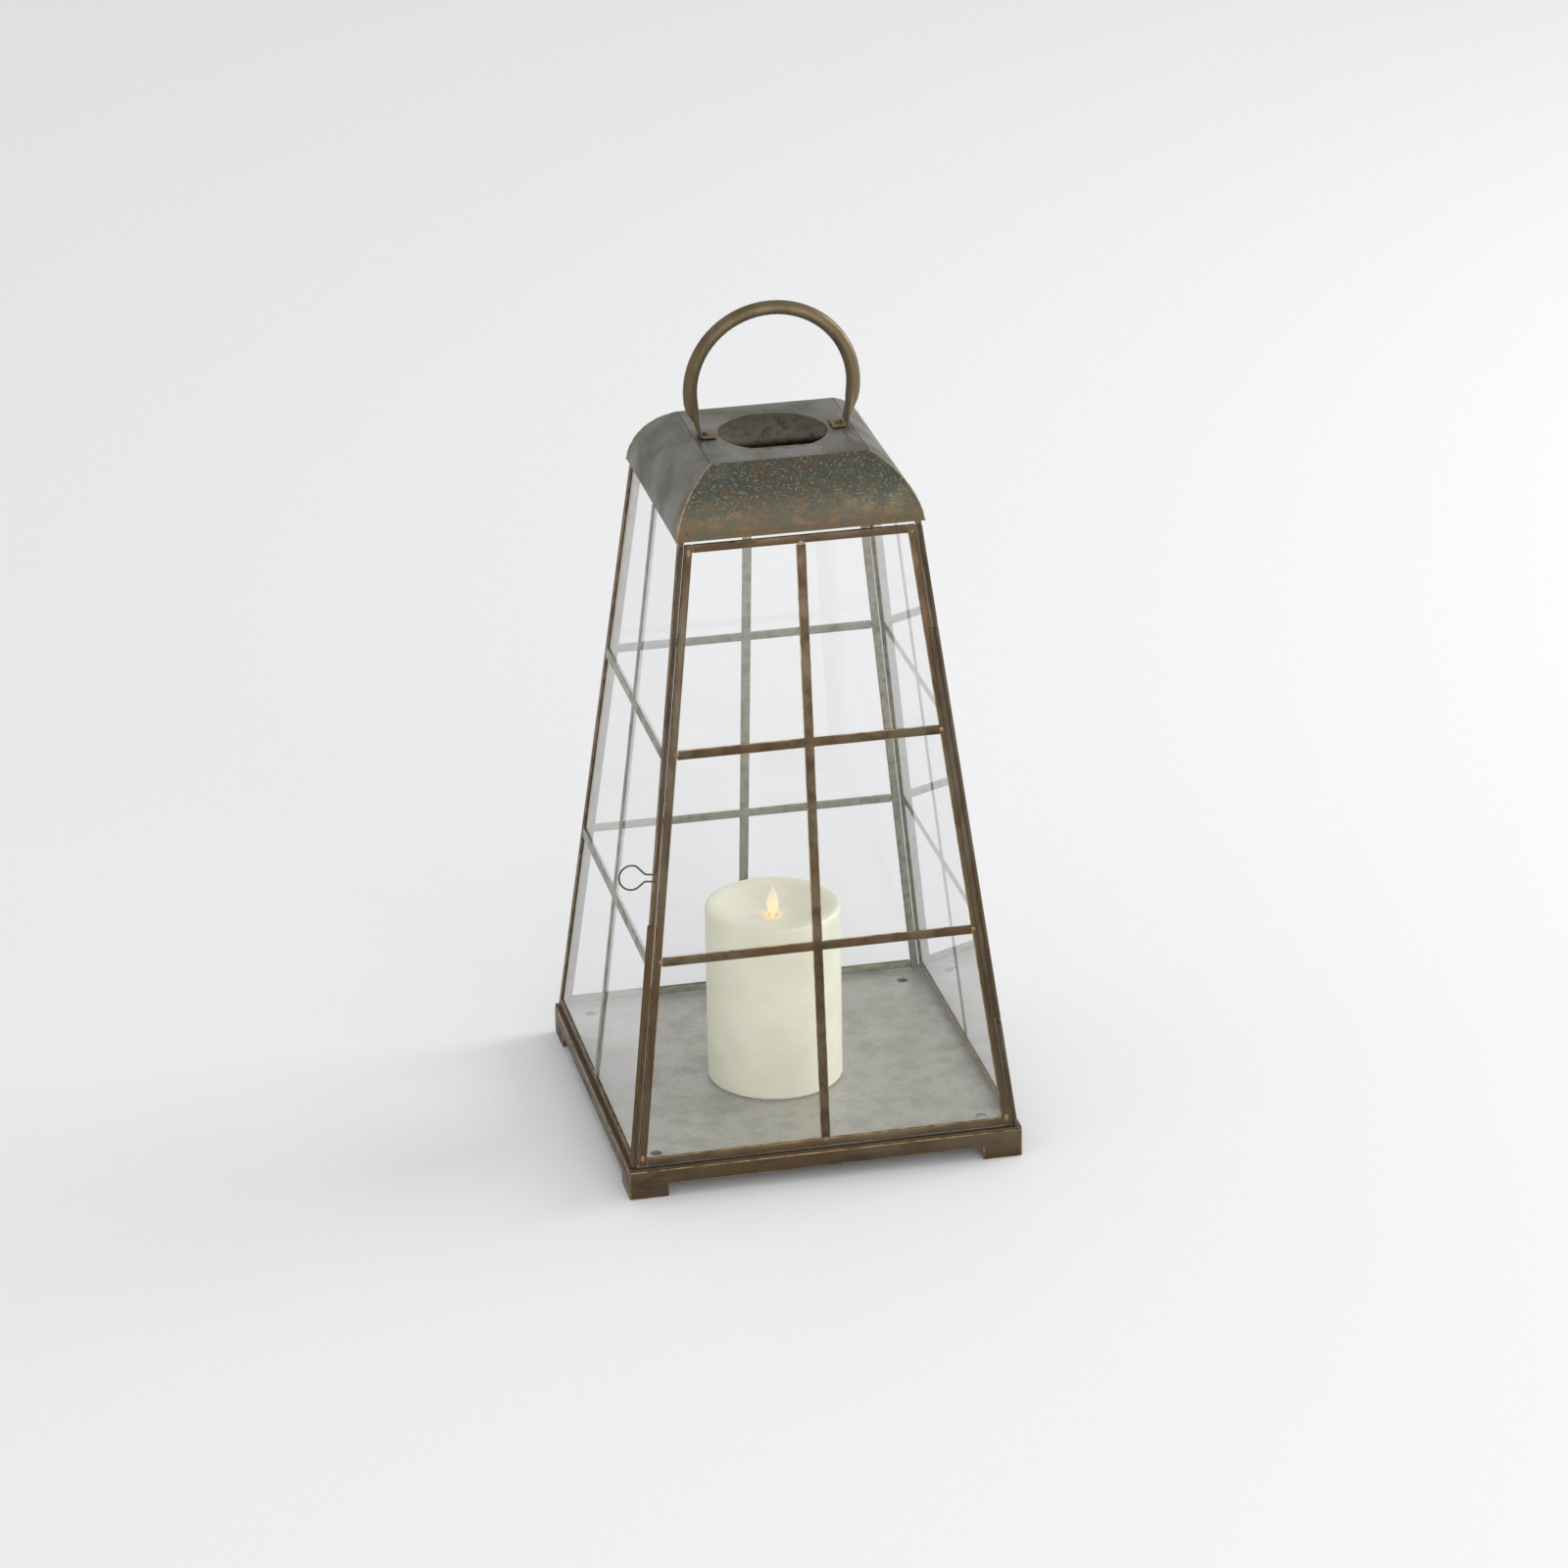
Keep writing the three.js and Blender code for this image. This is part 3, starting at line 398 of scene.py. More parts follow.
def patina_group():
    """Aged metal: a ground that drifts into a sheen, with stains over it and small flecks over both."""
    name = "Patina"
    if name in bpy.data.node_groups:
        return bpy.data.node_groups[name]
    nodes, given, made = new_group(
        name,
        [
            ("Ground", "NodeSocketColor", GREY),
            ("Sheen", "NodeSocketColor", GREY),
            ("Stain", "NodeSocketColor", GREY),
            ("Fleck", "NodeSocketColor", GREY),
            ("Scale", "NodeSocketFloat", 60.0),
            ("Stretch", "NodeSocketVector", EVEN),
            ("Stain Share", "NodeSocketFloat", 0.5),
            ("Fleck Share", "NodeSocketFloat", 0.3),
        ],
        [("Color", "NodeSocketColor"), ("Roughness", "NodeSocketFloat"), ("Height", "NodeSocketFloat")],
    )
    place = nodes.add(
        "ShaderNodeVectorMath", {0: nodes.object_place(), 1: given["Stretch"]}, operation="MULTIPLY"
    ).outputs["Vector"]
    drift = nodes.noise(place, nodes.maths("MULTIPLY", given["Scale"], DRIFT_SCALE), 3, 0.5)
    broad = nodes.noise(place, given["Scale"], 7, 0.62)
    fine = nodes.noise(place, nodes.maths("MULTIPLY", given["Scale"], FLECK_SCALE), 6, 0.7)
    stain_edge = nodes.maths("SUBTRACT", 1.0, given["Stain Share"])
    stain = nodes.spread(
        broad,
        nodes.maths("SUBTRACT", stain_edge, STAIN_SOFTNESS),
        nodes.maths("ADD", stain_edge, STAIN_SOFTNESS),
    )
    fleck_edge = nodes.maths("SUBTRACT", 1.0, given["Fleck Share"])
    fleck = nodes.spread(
        fine,
        nodes.maths("SUBTRACT", fleck_edge, FLECK_SOFTNESS),
        nodes.maths("ADD", fleck_edge, FLECK_SOFTNESS),
    )
    ground = nodes.blend(nodes.spread(drift, *SHEEN_BAND), given["Ground"], given["Sheen"])
    stained = nodes.blend(stain, ground, given["Stain"])
    nodes.tree.links.new(nodes.blend(fleck, stained, given["Fleck"]), made["Color"])
    nodes.tree.links.new(nodes.spread(broad, *NOISE_BAND, *METAL_ROUGHNESS), made["Roughness"])
    nodes.tree.links.new(fine, made["Height"])
    return nodes.tree


def inner_side_group():
    """Gives faces that look towards the lantern's middle a colour of their own."""
    name = "Inner Side"
    if name in bpy.data.node_groups:
        return bpy.data.node_groups[name]
    nodes, given, made = new_group(
        name,
        [("Outside", "NodeSocketColor", GREY), ("Inside", "NodeSocketColor", GREY)],
        [("Color", "NodeSocketColor")],
    )
    coordinates = nodes.add("ShaderNodeTexCoord").outputs
    flat = nodes.add(
        "ShaderNodeVectorMath", {0: coordinates["Object"], 1: (1, 1, 0)}, operation="MULTIPLY"
    ).outputs["Vector"]
    outward = nodes.add("ShaderNodeVectorMath", {0: flat}, operation="NORMALIZE").outputs["Vector"]
    facing = nodes.add(
        "ShaderNodeVectorMath", {0: coordinates["Normal"], 1: outward}, operation="DOT_PRODUCT"
    ).outputs["Value"]
    inside = nodes.spread(facing, *INWARD_BAND, 1.0, 0.0)
    nodes.tree.links.new(nodes.blend(inside, given["Outside"], given["Inside"]), made["Color"])
    return nodes.tree


def new_material(name):
    material = bpy.data.materials.new(name)
    material.use_nodes = True
    nodes = Nodes(material.node_tree)
    return material, nodes, material.node_tree.nodes["Principled BSDF"]


def finish(ground, stain, fleck, scale, stretch=EVEN, stain_share=0.45, fleck_share=0.35, sheen=None):
    """Values of the Patina group for one kind of surface."""
    return {
        "Ground": rgba(ground),
        "Sheen": rgba(sheen or ground),
        "Stain": rgba(stain),
        "Fleck": rgba(fleck),
        "Scale": scale,
        "Stretch": stretch,
        "Stain Share": stain_share,
        "Fleck Share": fleck_share,
    }


def patina_of(nodes, values):
    """A Patina group set to one finish."""
    patina = nodes.tree.nodes.new("ShaderNodeGroup")
    patina.node_tree = patina_group()
    for key, value in values.items():
        patina.inputs[key].default_value = value
    return patina.outputs


def aged_metal(name, outer, metallic=0.8, bump=0.1, inner=None, upper=None):
    """Patinated metal. Faces that look inwards can take a finish of their own, and so can the top."""
    if name in bpy.data.materials:
        return bpy.data.materials[name]
    material, nodes, shader = new_material(name)
    patina = patina_of(nodes, outer)
    colour = patina["Color"]
    if upper:
        low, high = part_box("roof_front")
        wander = nodes.noise(nodes.object_place(), WANDER_SCALE, 5, 0.6)
        axes = nodes.add("ShaderNodeSeparateXYZ", {0: nodes.object_place()}).outputs
        level = nodes.maths("ADD", axes["Z"], nodes.maths("MULTIPLY", wander, ROOF_WANDER))
        share = nodes.spread(
            level, low.z + ROOF_WANDER * UPPER_START, high.z + ROOF_WANDER * UPPER_FULL
        )
        colour = nodes.blend(share, colour, patina_of(nodes, upper)["Color"])
    if inner:
        side = nodes.tree.nodes.new("ShaderNodeGroup")
        side.node_tree = inner_side_group()
        nodes.tree.links.new(colour, side.inputs["Outside"])
        nodes.tree.links.new(patina_of(nodes, inner)["Color"], side.inputs["Inside"])
        colour = side.outputs["Color"]
    relief = nodes.add(
        "ShaderNodeBump", {"Height": patina["Height"], "Strength": bump, "Distance": RELIEF_DEPTH}
    )
    nodes.tree.links.new(colour, shader.inputs["Base Color"])
    nodes.tree.links.new(patina["Roughness"], shader.inputs["Roughness"])
    nodes.tree.links.new(relief.outputs["Normal"], shader.inputs["Normal"])
    shader.inputs["Metallic"].default_value = metallic
    return material


def inside_finish(colours):
    return finish(colours.inside_pale, colours.inside_dark, colours.verdigris, 160)


def bronze_metal(colours, grain, label):
    outer = finish(
        colours.bronze, colours.bronze_dark, colours.bronze_sheen, 75, grain, sheen=colours.bronze_sheen
    )
    return aged_metal(f"frame bronze {label}", outer, inner=inside_finish(colours))


# The fixed walls' bars take a light grey that is a painted reflection seen at a grazing angle, with stains
# over it.
def bar_metal(colours):
    outer = finish(colours.bar_reflection_grey, colours.bar_dark, colours.bronze_sheen, 75)
    return aged_metal("wall bars grey", outer, inner=inside_finish(colours))


# Gold on bevelled edges: partly wear, partly a painted highlight.
def worn_and_highlit_edge_metal(colours):
    return aged_metal("worn gold edge", finish(colours.gold, colours.bronze, colours.bronze, 120), 0.9)


def vent_finish(colours):
    return finish(colours.vent_shade, colours.slate, colours.inside_dark, 190, stain_share=0.4)


def weathered_metal(colours):
    """Front and back of the roof: rusty brown at the eave, green-grey towards the cap."""
    lower = finish(colours.rust, colours.olive, colours.bronze_dark, 150, DRAWN, 0.46, 0.42)
    upper = finish(colours.olive, colours.slate, colours.verdigris, 150, DRAWN, 0.56, 0.42, colours.rust)
    return aged_metal("roof weathered", lower, 0.7, 0.08, vent_finish(colours), upper)


def satin_metal(colours):
    outer = finish(colours.satin, colours.satin_dark, colours.satin_dark, 34)
    return aged_metal("roof satin", outer, 0.75, 0.04, vent_finish(colours))


# The corner seams take the worn gold too, so their brightness is partly a painted highlight.
def seam_metal(colours):
    return aged_metal("bright seam", finish(colours.gold, colours.solder, colours.bronze, 150), 0.9, 0.05)


def solder_metal(colours):
    return aged_metal("solder", finish(colours.solder, colours.bronze, colours.bronze_sheen, 130), 0.75)


def handle_metal(colours):
    outer = finish(colours.handle, colours.bronze_dark, colours.solder, 30, UPRIGHT, 0.38, 0.3)
    return aged_metal("handle brass", outer, 0.92, 0.03)


def wire_metal(colours):
    outer = finish(colours.wire, colours.bronze_dark, colours.bronze, 90, stain_share=0.4)
    return aged_metal("dark wire", outer, 0.35, 0.03)


def steel_metal(colours):
    return aged_metal("plain steel", finish(colours.zinc, colours.zinc_dark, colours.zinc, 200))


def tray_metal(colours):
    """Dull zinc inside the lantern, bronze on the rim that shows outside the walls."""
    material, nodes, shader = new_material("floor zinc")
    zinc = patina_of(nodes, finish(colours.zinc, colours.zinc_dark, colours.zinc_dark, 58, fleck_share=0.42))
    rim = patina_of(nodes, finish(colours.bronze, colours.bronze_dark, colours.solder, 70, LEVEL))
    axes = nodes.add("ShaderNodeSeparateXYZ", {0: nodes.object_place()}).outputs
    out_x = nodes.maths("ABSOLUTE", axes["X"], 0.0)
    out_y = nodes.maths("ABSOLUTE", axes["Y"], 0.0)
    out = nodes.maths("MAXIMUM", out_x, out_y)
    share = nodes.spread(out, TRAY_RIM - RIM_BLEND, TRAY_RIM + RIM_BLEND)
    nodes.tree.links.new(nodes.blend(share, zinc["Color"], rim["Color"]), shader.inputs["Base Color"])
    nodes.tree.links.new(zinc["Roughness"], shader.inputs["Roughness"])
    shader.inputs["Metallic"].default_value = 0.45
    return material


def plastic_material(colours):
    """Plain moulded plastic with a faint grain."""
    material, nodes, shader = new_material("base plastic")
    grain = nodes.noise(nodes.object_place(), 300, 3, 0.5)
    darker = tuple(v * 0.94 for v in colours.plastic)
    nodes.tree.links.new(
        nodes.blend(grain, rgba(darker), rgba(colours.plastic)), shader.inputs["Base Color"]
    )
    rough = nodes.spread(grain, *NOISE_BAND, *PLASTIC_ROUGHNESS)
    nodes.tree.links.new(rough, shader.inputs["Roughness"])
    return material


def clear_glass():
    """Clear panes. Light from the lamps and light scattered by other surfaces goes straight through."""
    name = "clear glass"
    if name in bpy.data.materials:
        return bpy.data.materials[name]
    material, nodes, shader = new_material(name)
    shader.inputs["Base Color"].default_value = GLASS_TINT
    shader.inputs["Roughness"].default_value = 0.0
    shader.inputs["IOR"].default_value = 1.5
    shader.inputs["Transmission Weight"].default_value = 1.0
    path = nodes.add("ShaderNodeLightPath")
    through = nodes.add("ShaderNodeBsdfTransparent", {"Color": PASSING_TINT})
    passing = nodes.maths("MAXIMUM", path.outputs["Is Shadow Ray"], path.outputs["Is Diffuse Ray"])
    mixed = nodes.add("ShaderNodeMixShader", {0: passing})
    nodes.tree.links.new(shader.outputs[0], mixed.inputs[1])
    nodes.tree.links.new(through.outputs[0], mixed.inputs[2])
    nodes.tree.links.new(mixed.outputs[0], nodes.tree.nodes["Material Output"].inputs["Surface"])
    return material


def wax_material(colours, glow_centre):
    """Ivory wax that glows softly round the foot of the flame."""
    material, nodes, shader = new_material("ivory wax")
    place = nodes.object_place()
    cloudy = nodes.noise(place, 45, 4, 0.5)
    paler = tuple(min(1.0, v * WAX_PALER) for v in colours.wax)
    darker = tuple(v * WAX_DARKER for v in colours.wax)
    tint = nodes.blend(nodes.spread(cloudy, 0.35, 0.65), rgba(darker), rgba(paler))
    away = nodes.add("ShaderNodeVectorMath", {0: place, 1: glow_centre}, operation="DISTANCE")
    near = nodes.spread(away.outputs["Value"], GLOW_NEAR, GLOW_FAR, 1.0, 0.0)
    glow = nodes.blend(near, NO_GLOW, rgba(colours.glow))
    nodes.tree.links.new(tint, shader.inputs["Base Color"])
    nodes.tree.links.new(glow, shader.inputs["Emission Color"])
    nodes.tree.links.new(nodes.spread(cloudy, *NOISE_BAND, *WAX_ROUGHNESS), shader.inputs["Roughness"])
    shader.inputs["Emission Strength"].default_value = WAX_GLOW
    shader.inputs["Subsurface Weight"].default_value = 0.4
    shader.inputs["Subsurface Radius"].default_value = (1.0, 0.8, 0.5)
    shader.inputs["Subsurface Scale"].default_value = 5 * MM
    return material


def flame_material(colours, foot_z, tip_z):
    """A translucent flame, warm at its foot and pale at its tip."""
    material, nodes, shader = new_material("flame")
    height = nodes.add("ShaderNodeSeparateXYZ", {0: nodes.object_place()}).outputs["Z"]
    up = nodes.spread(height, foot_z + 0.5 * MM, tip_z)
    ripple = nodes.noise(nodes.object_place(), 260, 3, 0.5)
    glow = nodes.blend(up, rgba(colours.glow), FLAME_TIP_GLOW)
    nodes.tree.links.new(nodes.blend(ripple, FLAME_PALE, rgba(colours.wax)), shader.inputs["Base Color"])
    nodes.tree.links.new(glow, shader.inputs["Emission Color"])
    nodes.tree.links.new(nodes.spread(ripple, *NOISE_BAND, *FLAME_ROUGHNESS), shader.inputs["Roughness"])
    shader.inputs["Emission Strength"].default_value = FLAME_GLOW
    return material


# ---------------------------------------------------------------- pieces


def refined(node, body, slot, name, width, materials, angle=40, segments=2):
    """A CAD node's shape with softened edges, in place of the node. The edges' gold is wear together with a
    painted highlight.
    """
    piece = merged_copy(node, name)
    paint(piece, *materials)
    soften_edges(piece, width, angle, segments, 1 if len(materials) > 1 else -1)
    return give(piece, body, slot, node)


def rounded(node, body, slot, name, material, angle=40):
    """A round CAD node's shape with smooth shading, in place of the node."""
    piece = merged_copy(node, name)
    paint(piece, material)
    smooth(piece, angle)
    return give(piece, body, slot, node)


def frame_strips(wall, body, sizes, colours):
    """Stiles, rails and bars of one wall, each with its grain along its own length."""
    stile = bronze_metal(colours, UPRIGHT, "upright")
    rail = bronze_metal(colours, LEVEL, "level")
    bars = bronze_metal(colours, EVEN, "crossed") if wall == "door" else bar_metal(colours)
    metals = {"stile": stile, "rail": rail, "bars": bars}
    for part in FRAME_PARTS:
        node = f"{wall}_{part}"
        metal = metals[part.split("_")[0]]
        plain = wall != "door" and part == "bars"
        materials = (metal,) if plain else (metal, worn_and_highlit_edge_metal(colours))
        refined(node, body, "frame_bronze", f"{node}_strip", sizes.strip_edge, materials)
    paint(NODES[f"{wall}_glass"], clear_glass())


def solder_blob(place, tilt, quarter, radius, stretch):
    """A low, uneven drop of solder that lies on a wall's outer face."""
    bpy.ops.mesh.primitive_uv_sphere_add(segments=SOLDER_SIDES, ring_count=SOLDER_RINGS, radius=radius)
    blob = bpy.context.object
    bpy.ops.object.mode_set(mode="EDIT")
    bpy.ops.transform.resize(value=(stretch, SOLDER_FLATNESS, 1 / stretch))
    bpy.ops.object.mode_set(mode="OBJECT")
    turn = Matrix.Rotation(quarter * QUARTER_TURN, 4, "Z")
    blob.matrix_world = turn @ Matrix.Translation(place) @ Matrix.Rotation(tilt, 4, "X")
    settle(blob)
    smooth(blob, 60)
    return blob


def wall_solder(wall, body, sizes, colours):
    """Solder where the bars and rails of one wall meet."""
    quarter = WALLS[wall]
    top = DOOR_TOP_Z if wall == "door" else SIDE_TOP_Z
    margin = DOOR_MARGIN if wall in ("door", "wall_back") else 0
    tilt = -math.atan(WALL_SLOPE)
    spots = []
    for level, z in enumerate(BAR_HEIGHTS):
        reach = wall_half(z) - margin - FRAME_STRIP
        spots += [(-reach, z, 1.15), (reach, z, 1.4), (0, z, 0.9 + 0.2 * level)]
    for z in (WALL_FOOT_Z + FRAME_STRIP, top - FRAME_STRIP):
        reach = wall_half(z) - margin - FRAME_STRIP / 2
        spots += [(-reach, z, 0.8), (reach, z, 0.8), (0, z, 1.1)]
    deselect_all()
    blobs = []
    for x, z, stretch in spots:
        place = Vector((x, -wall_half(z) + SOLDER_SINK, z))
        blobs.append(solder_blob(place, tilt, quarter, sizes.solder_radius, stretch))
    solder = join(blobs, f"{wall}_solder")
    paint(solder, solder_metal(colours))
    give(solder, body, "frame_bronze")


def roof_arc():
    """Centre, radius, first and last angle of the curve of a roof face, seen from the side."""
    low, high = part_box("roof_front")
    eave = Vector((-low.y, low.z))
    top = Vector((-high.y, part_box("roof_cap")[1].z))
    chord = top - eave
    radius = (chord.length_squared / 4 + ROOF_BULGE**2) / (2 * ROOF_BULGE)
    inward = Vector((-chord.y, chord.x)).normalized()
    centre = (eave + top) / 2 + inward * (radius - ROOF_BULGE)
    first = math.atan2(eave.y - centre.y, eave.x - centre.x)
    last = math.atan2(top.y - centre.y, top.x - centre.x)
    return centre, radius, first, last


def roof_seam(quarter, seam_radius):
    """A ragged bead of solder up one corner of the roof, drawn out ring by ring."""
    centre, radius, first, last = roof_arc()
    path = []
    for i in range(SEAM_STEPS + 1):
        angle = first + (last - first) * i / SEAM_STEPS
        out = centre.x + (radius + SEAM_RISE) * math.cos(angle)
        path.append(Vector((out, -out, centre.y + (radius + SEAM_RISE) * math.sin(angle))))
    deselect_all()
    bpy.ops.mesh.primitive_circle_add(
        vertices=SEAM_SIDES, radius=seam_radius, fill_type="NGON", location=path[0]
    )
    seam = bpy.context.object
    bpy.ops.object.mode_set(mode="EDIT")
    bpy.ops.mesh.select_all(action="SELECT")
    girth = 1.0
    for i in range(1, SEAM_STEPS + 1):
        bpy.ops.mesh.extrude_region_move(TRANSFORM_OT_translate={"value": path[i] - path[i - 1]})
        wanted = 0.8 + 0.28 * math.sin(i * 2.3 + quarter) + 0.16 * math.sin(i * 5.1)
        bpy.ops.transform.resize(value=(wanted / girth,) * 3)
        girth = wanted
    bpy.ops.mesh.select_all(action="SELECT")
    bpy.ops.mesh.normals_make_consistent(inside=False)
    bpy.ops.object.mode_set(mode="OBJECT")
    seam.matrix_world = Matrix.Rotation(quarter * QUARTER_TURN, 4, "Z") @ seam.matrix_world
    settle(seam)
    smooth(seam, 70)
    return seam


def spread_rim(piece, distance):
    """Moves the square outer rim of a flat sheet outwards on all four sides."""
    rim_start = max(v.co.x for v in piece.data.vertices) - RIM_REACH
    pick(piece)
    for axis in (0, 1):
        for side in (-1, 1):
            bpy.ops.object.mode_set(mode="EDIT")
            bpy.ops.mesh.select_all(action="DESELECT")
            bpy.ops.mesh.select_mode(type="VERT")
            bpy.ops.object.mode_set(mode="OBJECT")
            for vertex in piece.data.vertices:
                vertex.select = vertex.co[axis] * side > rim_start
            bpy.ops.object.mode_set(mode="EDIT")
            move = [0.0, 0.0, 0.0]
            move[axis] = side * distance
            bpy.ops.transform.translate(value=move)
            bpy.ops.object.mode_set(mode="OBJECT")


def spun(profile, centre, steps, name):
    """A solid of revolution about an upright axis, from points of (radius, height)."""
    deselect_all()
    bpy.ops.mesh.primitive_plane_add(size=1)
    piece = bpy.context.object
    bpy.ops.object.mode_set(mode="EDIT")
    bpy.ops.mesh.select_all(action="SELECT")
    bpy.ops.mesh.merge(type="CENTER")
    first = profile[0]
    bpy.ops.transform.translate(value=(centre.x + first[0], centre.y, first[1]))
    for before, after in zip(profile, profile[1:]):
        move = (after[0] - before[0], 0, after[1] - before[1])
        bpy.ops.mesh.extrude_region_move(TRANSFORM_OT_translate={"value": move})
    bpy.ops.mesh.select_all(action="SELECT")
    bpy.ops.mesh.spin(steps=steps, angle=FULL_TURN, center=(centre.x, centre.y, 0), axis=(0, 0, 1))
    bpy.ops.mesh.select_all(action="SELECT")
    bpy.ops.mesh.remove_doubles(threshold=SPUN_MERGE_GAP)
    bpy.ops.mesh.normals_make_consistent(inside=False)
    bpy.ops.object.mode_set(mode="OBJECT")
    settle(piece)
    piece.name = name
    piece.data.name = name
    return piece


def candle_profile(edge):
    """Outline of the wax from the hollow's ceiling, down inside, up outside and into the dish."""
    low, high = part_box("candle_body")
    radius = (high.x - low.x) / 2
    inner = radius - WAX_WALL
    ceiling = high.z - WAX_ROOF
    outline = [(0, ceiling), (inner, ceiling), (inner, low.z), (radius - FOOT_EDGE, low.z)]
    outline += [(radius, low.z + FOOT_EDGE), (radius, high.z - edge)]
    for i in range(1, RIM_STEPS + 1):
        turn = QUARTER_TURN * i / RIM_STEPS
        outline.append((radius - edge + edge * math.cos(turn), high.z - edge + edge * math.sin(turn)))
    rim = radius - DISH_INSET
    for i in range(1, DISH_STEPS + 1):
        share = i / DISH_STEPS
        sunk = DISH_DEPTH * math.sin(QUARTER_TURN * share)
        outline.append((rim + (WELL_RADIUS - rim) * share, high.z - sunk))
    floor = high.z - DISH_DEPTH - WELL_DEPTH
    outline += [(WELL_RADIUS, floor), (0, floor)]
    return outline


# ---------------------------------------------------------------- operators


class LANTERN_OT_base(bpy.types.Operator):
    """Finish the base: four folded skirts and the floor plate"""

    bl_idname = "lantern.base"
    bl_label = "Base"

    def execute(self, context):
        sizes, colours = context.scene.lantern_sizes, context.scene.lantern_colours
        materials = (bronze_metal(colours, LEVEL, "level"), worn_and_highlit_edge_metal(colours))
        for side in ("front", "right", "back", "left"):
            node = f"base_skirt_{side}"
            refined(node, "lantern", "frame_bronze", f"{node}_folded", sizes.skirt_edge, materials)
        paint(NODES["floor_plate"], tray_metal(colours))
        return {"FINISHED"}


class LANTERN_OT_walls(bpy.types.Operator):
    """Finish the three fixed walls: strips, bars, panes and solder"""

    bl_idname = "lantern.walls"
    bl_label = "Walls"

    def execute(self, context):
        sizes, colours = context.scene.lantern_sizes, context.scene.lantern_colours
        for wall in ("wall_right", "wall_back", "wall_left"):
            frame_strips(wall, "lantern", sizes, colours)
            wall_solder(wall, "lantern", sizes, colours)
        return {"FINISHED"}


class LANTERN_OT_door(bpy.types.Operator):
    """Finish the door: strips, bars, pane, solder and its leaf of the hinge"""

    bl_idname = "lantern.door"
    bl_label = "Door"

    def execute(self, context):
        sizes, colours = context.scene.lantern_sizes, context.scene.lantern_colours
        frame_strips("door", "door", sizes, colours)
        wall_solder("door", "door", sizes, colours)
        metal = bronze_metal(colours, UPRIGHT, "upright")
        rounded("door_hinge_knuckle", "door", "frame_bronze", "door_knuckle_leaf", metal)
        return {"FINISHED"}


class LANTERN_OT_hinge(bpy.types.Operator):
    """Finish the fixed knuckles, the pin and the tubes on the left corner"""

    bl_idname = "lantern.hinge"
    bl_label = "Hinge and corner tubes"

    def execute(self, context):
        colours = context.scene.lantern_colours
        metal = bronze_metal(colours, UPRIGHT, "upright")
        for node in ("hinge_knuckle_upper", "hinge_knuckle_lower", "latch_tube", "corner_tube_lower"):
            rounded(node, "lantern", "frame_bronze", f"{node}_round", metal)
        rounded("hinge_pin", "lantern", "wire_brass", "hinge_pin_round", wire_metal(colours))
        return {"FINISHED"}


class LANTERN_OT_latch(bpy.types.Operator):
    """Finish the turning wire latch"""

    bl_idname = "lantern.latch"
    bl_label = "Wire latch"

    def execute(self, context):
        colours = context.scene.lantern_colours
        rounded("latch_wire", "latch", "wire_brass", "latch_wire_round", wire_metal(colours), 60)
        return {"FINISHED"}


class LANTERN_OT_roof(bpy.types.Operator):
    """Finish the roof: four curved faces, the vented cap and the soldered corners"""

    bl_idname = "lantern.roof"
    bl_label = "Roof"

    def execute(self, context):
        sizes, colours = context.scene.lantern_sizes, context.scene.lantern_colours
        faces = {
            "front": weathered_metal(colours),
            "back": weathered_metal(colours),
            "right": satin_metal(colours),
            "left": satin_metal(colours),
        }
        for side, metal in faces.items():
            rounded(f"roof_{side}", "lantern", "roof_patina", f"roof_{side}_sheet", metal, 25)
        cap = merged_copy("roof_cap", "roof_cap_sheet")
        spread_rim(cap, CAP_SPREAD)
        paint(cap, satin_metal(colours))
        soften_edges(cap, CAP_EDGE, 50, 2)
        give(cap, "lantern", "roof_patina", "roof_cap")
        seams = [roof_seam(quarter, sizes.seam_radius) for quarter in range(4)]
        beads = join(seams, "roof_corner_seams")
        paint(beads, seam_metal(colours))
        give(beads, "lantern", "roof_patina")
        return {"FINISHED"}


class LANTERN_OT_handle(bpy.types.Operator):
    """Finish the loop handle and its two rivets"""

    bl_idname = "lantern.handle"
    bl_label = "Handle"

    def execute(self, context):
        colours = context.scene.lantern_colours
        rounded("handle", "lantern", "handle_brass", "handle_tube", handle_metal(colours), 50)
        materials = (handle_metal(colours), worn_and_highlit_edge_metal(colours))
        for side in ("left", "right"):
            node = f"handle_rivet_{side}"
            refined(node, "lantern", "handle_brass", f"{node}_domed", RIVET_EDGE, materials, 50, 3)
        return {"FINISHED"}


class LANTERN_OT_candle(bpy.types.Operator):
    """Make the pillar candle and its moving flame"""

    bl_idname = "lantern.candle"
    bl_label = "Candle"

    def execute(self, context):
        sizes, colours = context.scene.lantern_sizes, context.scene.lantern_colours
        low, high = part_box("candle_body")
        flame_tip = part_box("candle_flame")[1].z
        centre = (low + high) / 2
        dish_z = high.z - DISH_DEPTH
        wax = spun(candle_profile(sizes.wax_edge), centre, CANDLE_SIDES, "candle_wax")
        paint(wax, wax_material(colours, (centre.x, centre.y, dish_z)))
        smooth(wax, SMOOTH_ANGLE)
        give(wax, "candle", "candle_wax", "candle_body")
        flame = merged_copy("candle_flame", "flame_paddle")
        paint(flame, flame_material(colours, dish_z, flame_tip))
        soften_edges(flame, FLAME_EDGE, 40, 3)
        give(flame, "flame", "flame_paddle", "candle_flame")
        paint(NODES["candle_base_cap"], plastic_material(colours))
        for node in ("candle_pivot_wire", "candle_flame_weight"):
            paint(NODES[node], steel_metal(colours))
        return {"FINISHED"}


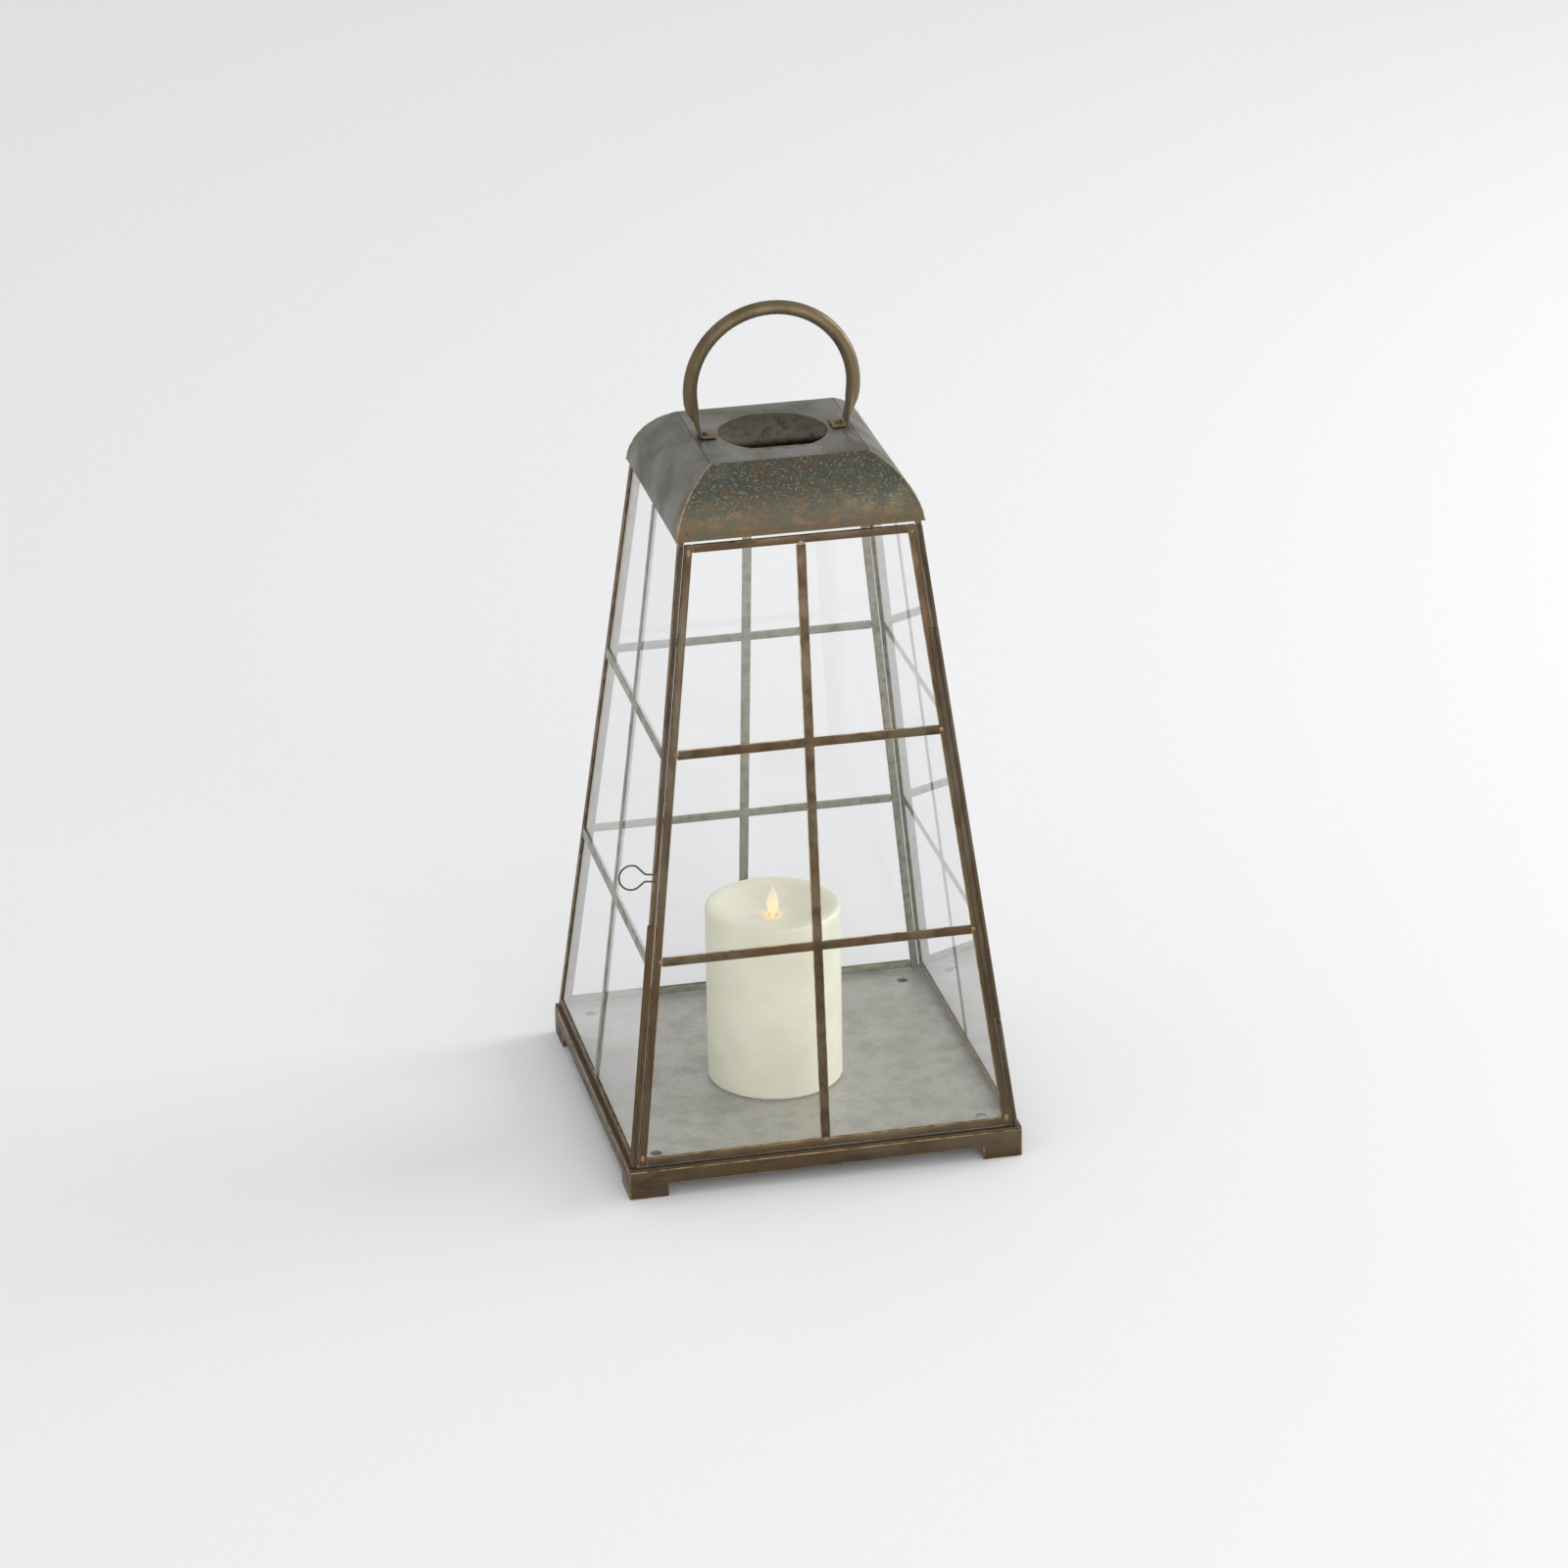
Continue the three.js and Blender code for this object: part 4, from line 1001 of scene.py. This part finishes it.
class LANTERN_OT_stage(bpy.types.Operator):
    """Set the pale floor, the soft lamps and the camera"""

    bl_idname = "lantern.stage"
    bl_label = "Stage"

    def execute(self, context):
        studio, colours = context.scene.lantern_studio, context.scene.lantern_colours
        self.make_floor(colours)
        self.make_lamps(context)
        self.make_camera(context, studio)
        return {"FINISHED"}

    def make_floor(self, colours):
        deselect_all()
        bpy.ops.mesh.primitive_plane_add(size=FLOOR_WIDTH, location=(0, 0, 0))
        floor = bpy.context.object
        settle(floor)
        floor.name = "studio_floor"
        material, _, shader = new_material("pale floor")
        shader.inputs["Base Color"].default_value = rgba(colours.floor)
        shader.inputs["Roughness"].default_value = 0.9
        shader.inputs["Specular IOR Level"].default_value = 0.1
        paint(floor, material)

    def make_lamps(self, context):
        scene = context.scene
        scene.view_settings.view_transform = "Standard"
        world = bpy.data.worlds.new("soft studio")
        scene.world = world
        world.use_nodes = True
        backdrop = world.node_tree.nodes["Background"]
        backdrop.inputs["Color"].default_value = BACKDROP_COLOUR
        backdrop.inputs["Strength"].default_value = BACKDROP_STRENGTH
        for name, place, size, power in LAMPS:
            lamp = bpy.data.lights.new(name, "AREA")
            lamp.size = size
            lamp.energy = power
            holder = bpy.data.objects.new(name, lamp)
            scene.collection.objects.link(holder)
            holder.location = place
            aim = LAMP_AIM - Vector(place)
            holder.rotation_euler = aim.to_track_quat("-Z", "Y").to_euler()

    def make_camera(self, context, studio):
        ahead = Vector(
            (
                math.sin(studio.heading) * math.cos(studio.dip),
                math.cos(studio.heading) * math.cos(studio.dip),
                -math.sin(studio.dip),
            )
        )
        level = Vector((math.cos(studio.heading), -math.sin(studio.heading), 0))
        upright = level.cross(ahead)
        right = level * math.cos(studio.roll) + upright * math.sin(studio.roll)
        up = upright * math.cos(studio.roll) - level * math.sin(studio.roll)
        camera = bpy.data.cameras.new("camera")
        camera.lens = studio.lens
        camera.sensor_width = SENSOR_WIDTH
        camera.clip_end = VIEW_REACH
        holder = bpy.data.objects.new("camera", camera)
        context.scene.collection.objects.link(holder)
        turn = Matrix((right, up, -ahead)).transposed().to_4x4()
        holder.matrix_world = Matrix.Translation(studio.place) @ turn
        context.scene.camera = holder


class LANTERN_PT_sidebar(bpy.types.Panel):
    """Lists the steps that finish the lantern"""

    bl_idname = "LANTERN_PT_sidebar"
    bl_label = "Candle lantern"
    bl_space_type = "VIEW_3D"
    bl_region_type = "UI"
    bl_category = "Lantern"

    def draw(self, context):
        for step in STEPS:
            self.layout.operator(step.bl_idname)


STEPS = (
    LANTERN_OT_base,
    LANTERN_OT_walls,
    LANTERN_OT_door,
    LANTERN_OT_hinge,
    LANTERN_OT_latch,
    LANTERN_OT_roof,
    LANTERN_OT_handle,
    LANTERN_OT_candle,
    LANTERN_OT_stage,
)
CLASSES = (LanternSizes, LanternColours, LanternStudio, *STEPS, LANTERN_PT_sidebar)


def register():
    for item in CLASSES:
        bpy.utils.register_class(item)
    bpy.types.Scene.lantern_sizes = bpy.props.PointerProperty(type=LanternSizes)
    bpy.types.Scene.lantern_colours = bpy.props.PointerProperty(type=LanternColours)
    bpy.types.Scene.lantern_studio = bpy.props.PointerProperty(type=LanternStudio)


def unregister():
    del bpy.types.Scene.lantern_studio
    del bpy.types.Scene.lantern_colours
    del bpy.types.Scene.lantern_sizes
    for item in reversed(CLASSES):
        bpy.utils.unregister_class(item)


def main():
    register()
    bpy.ops.lantern.base()
    bpy.ops.lantern.walls()
    bpy.ops.lantern.door()
    bpy.ops.lantern.hinge()
    bpy.ops.lantern.latch()
    bpy.ops.lantern.roof()
    bpy.ops.lantern.handle()
    bpy.ops.lantern.candle()
    bpy.ops.lantern.stage()


if __name__ == "__main__":
    main()
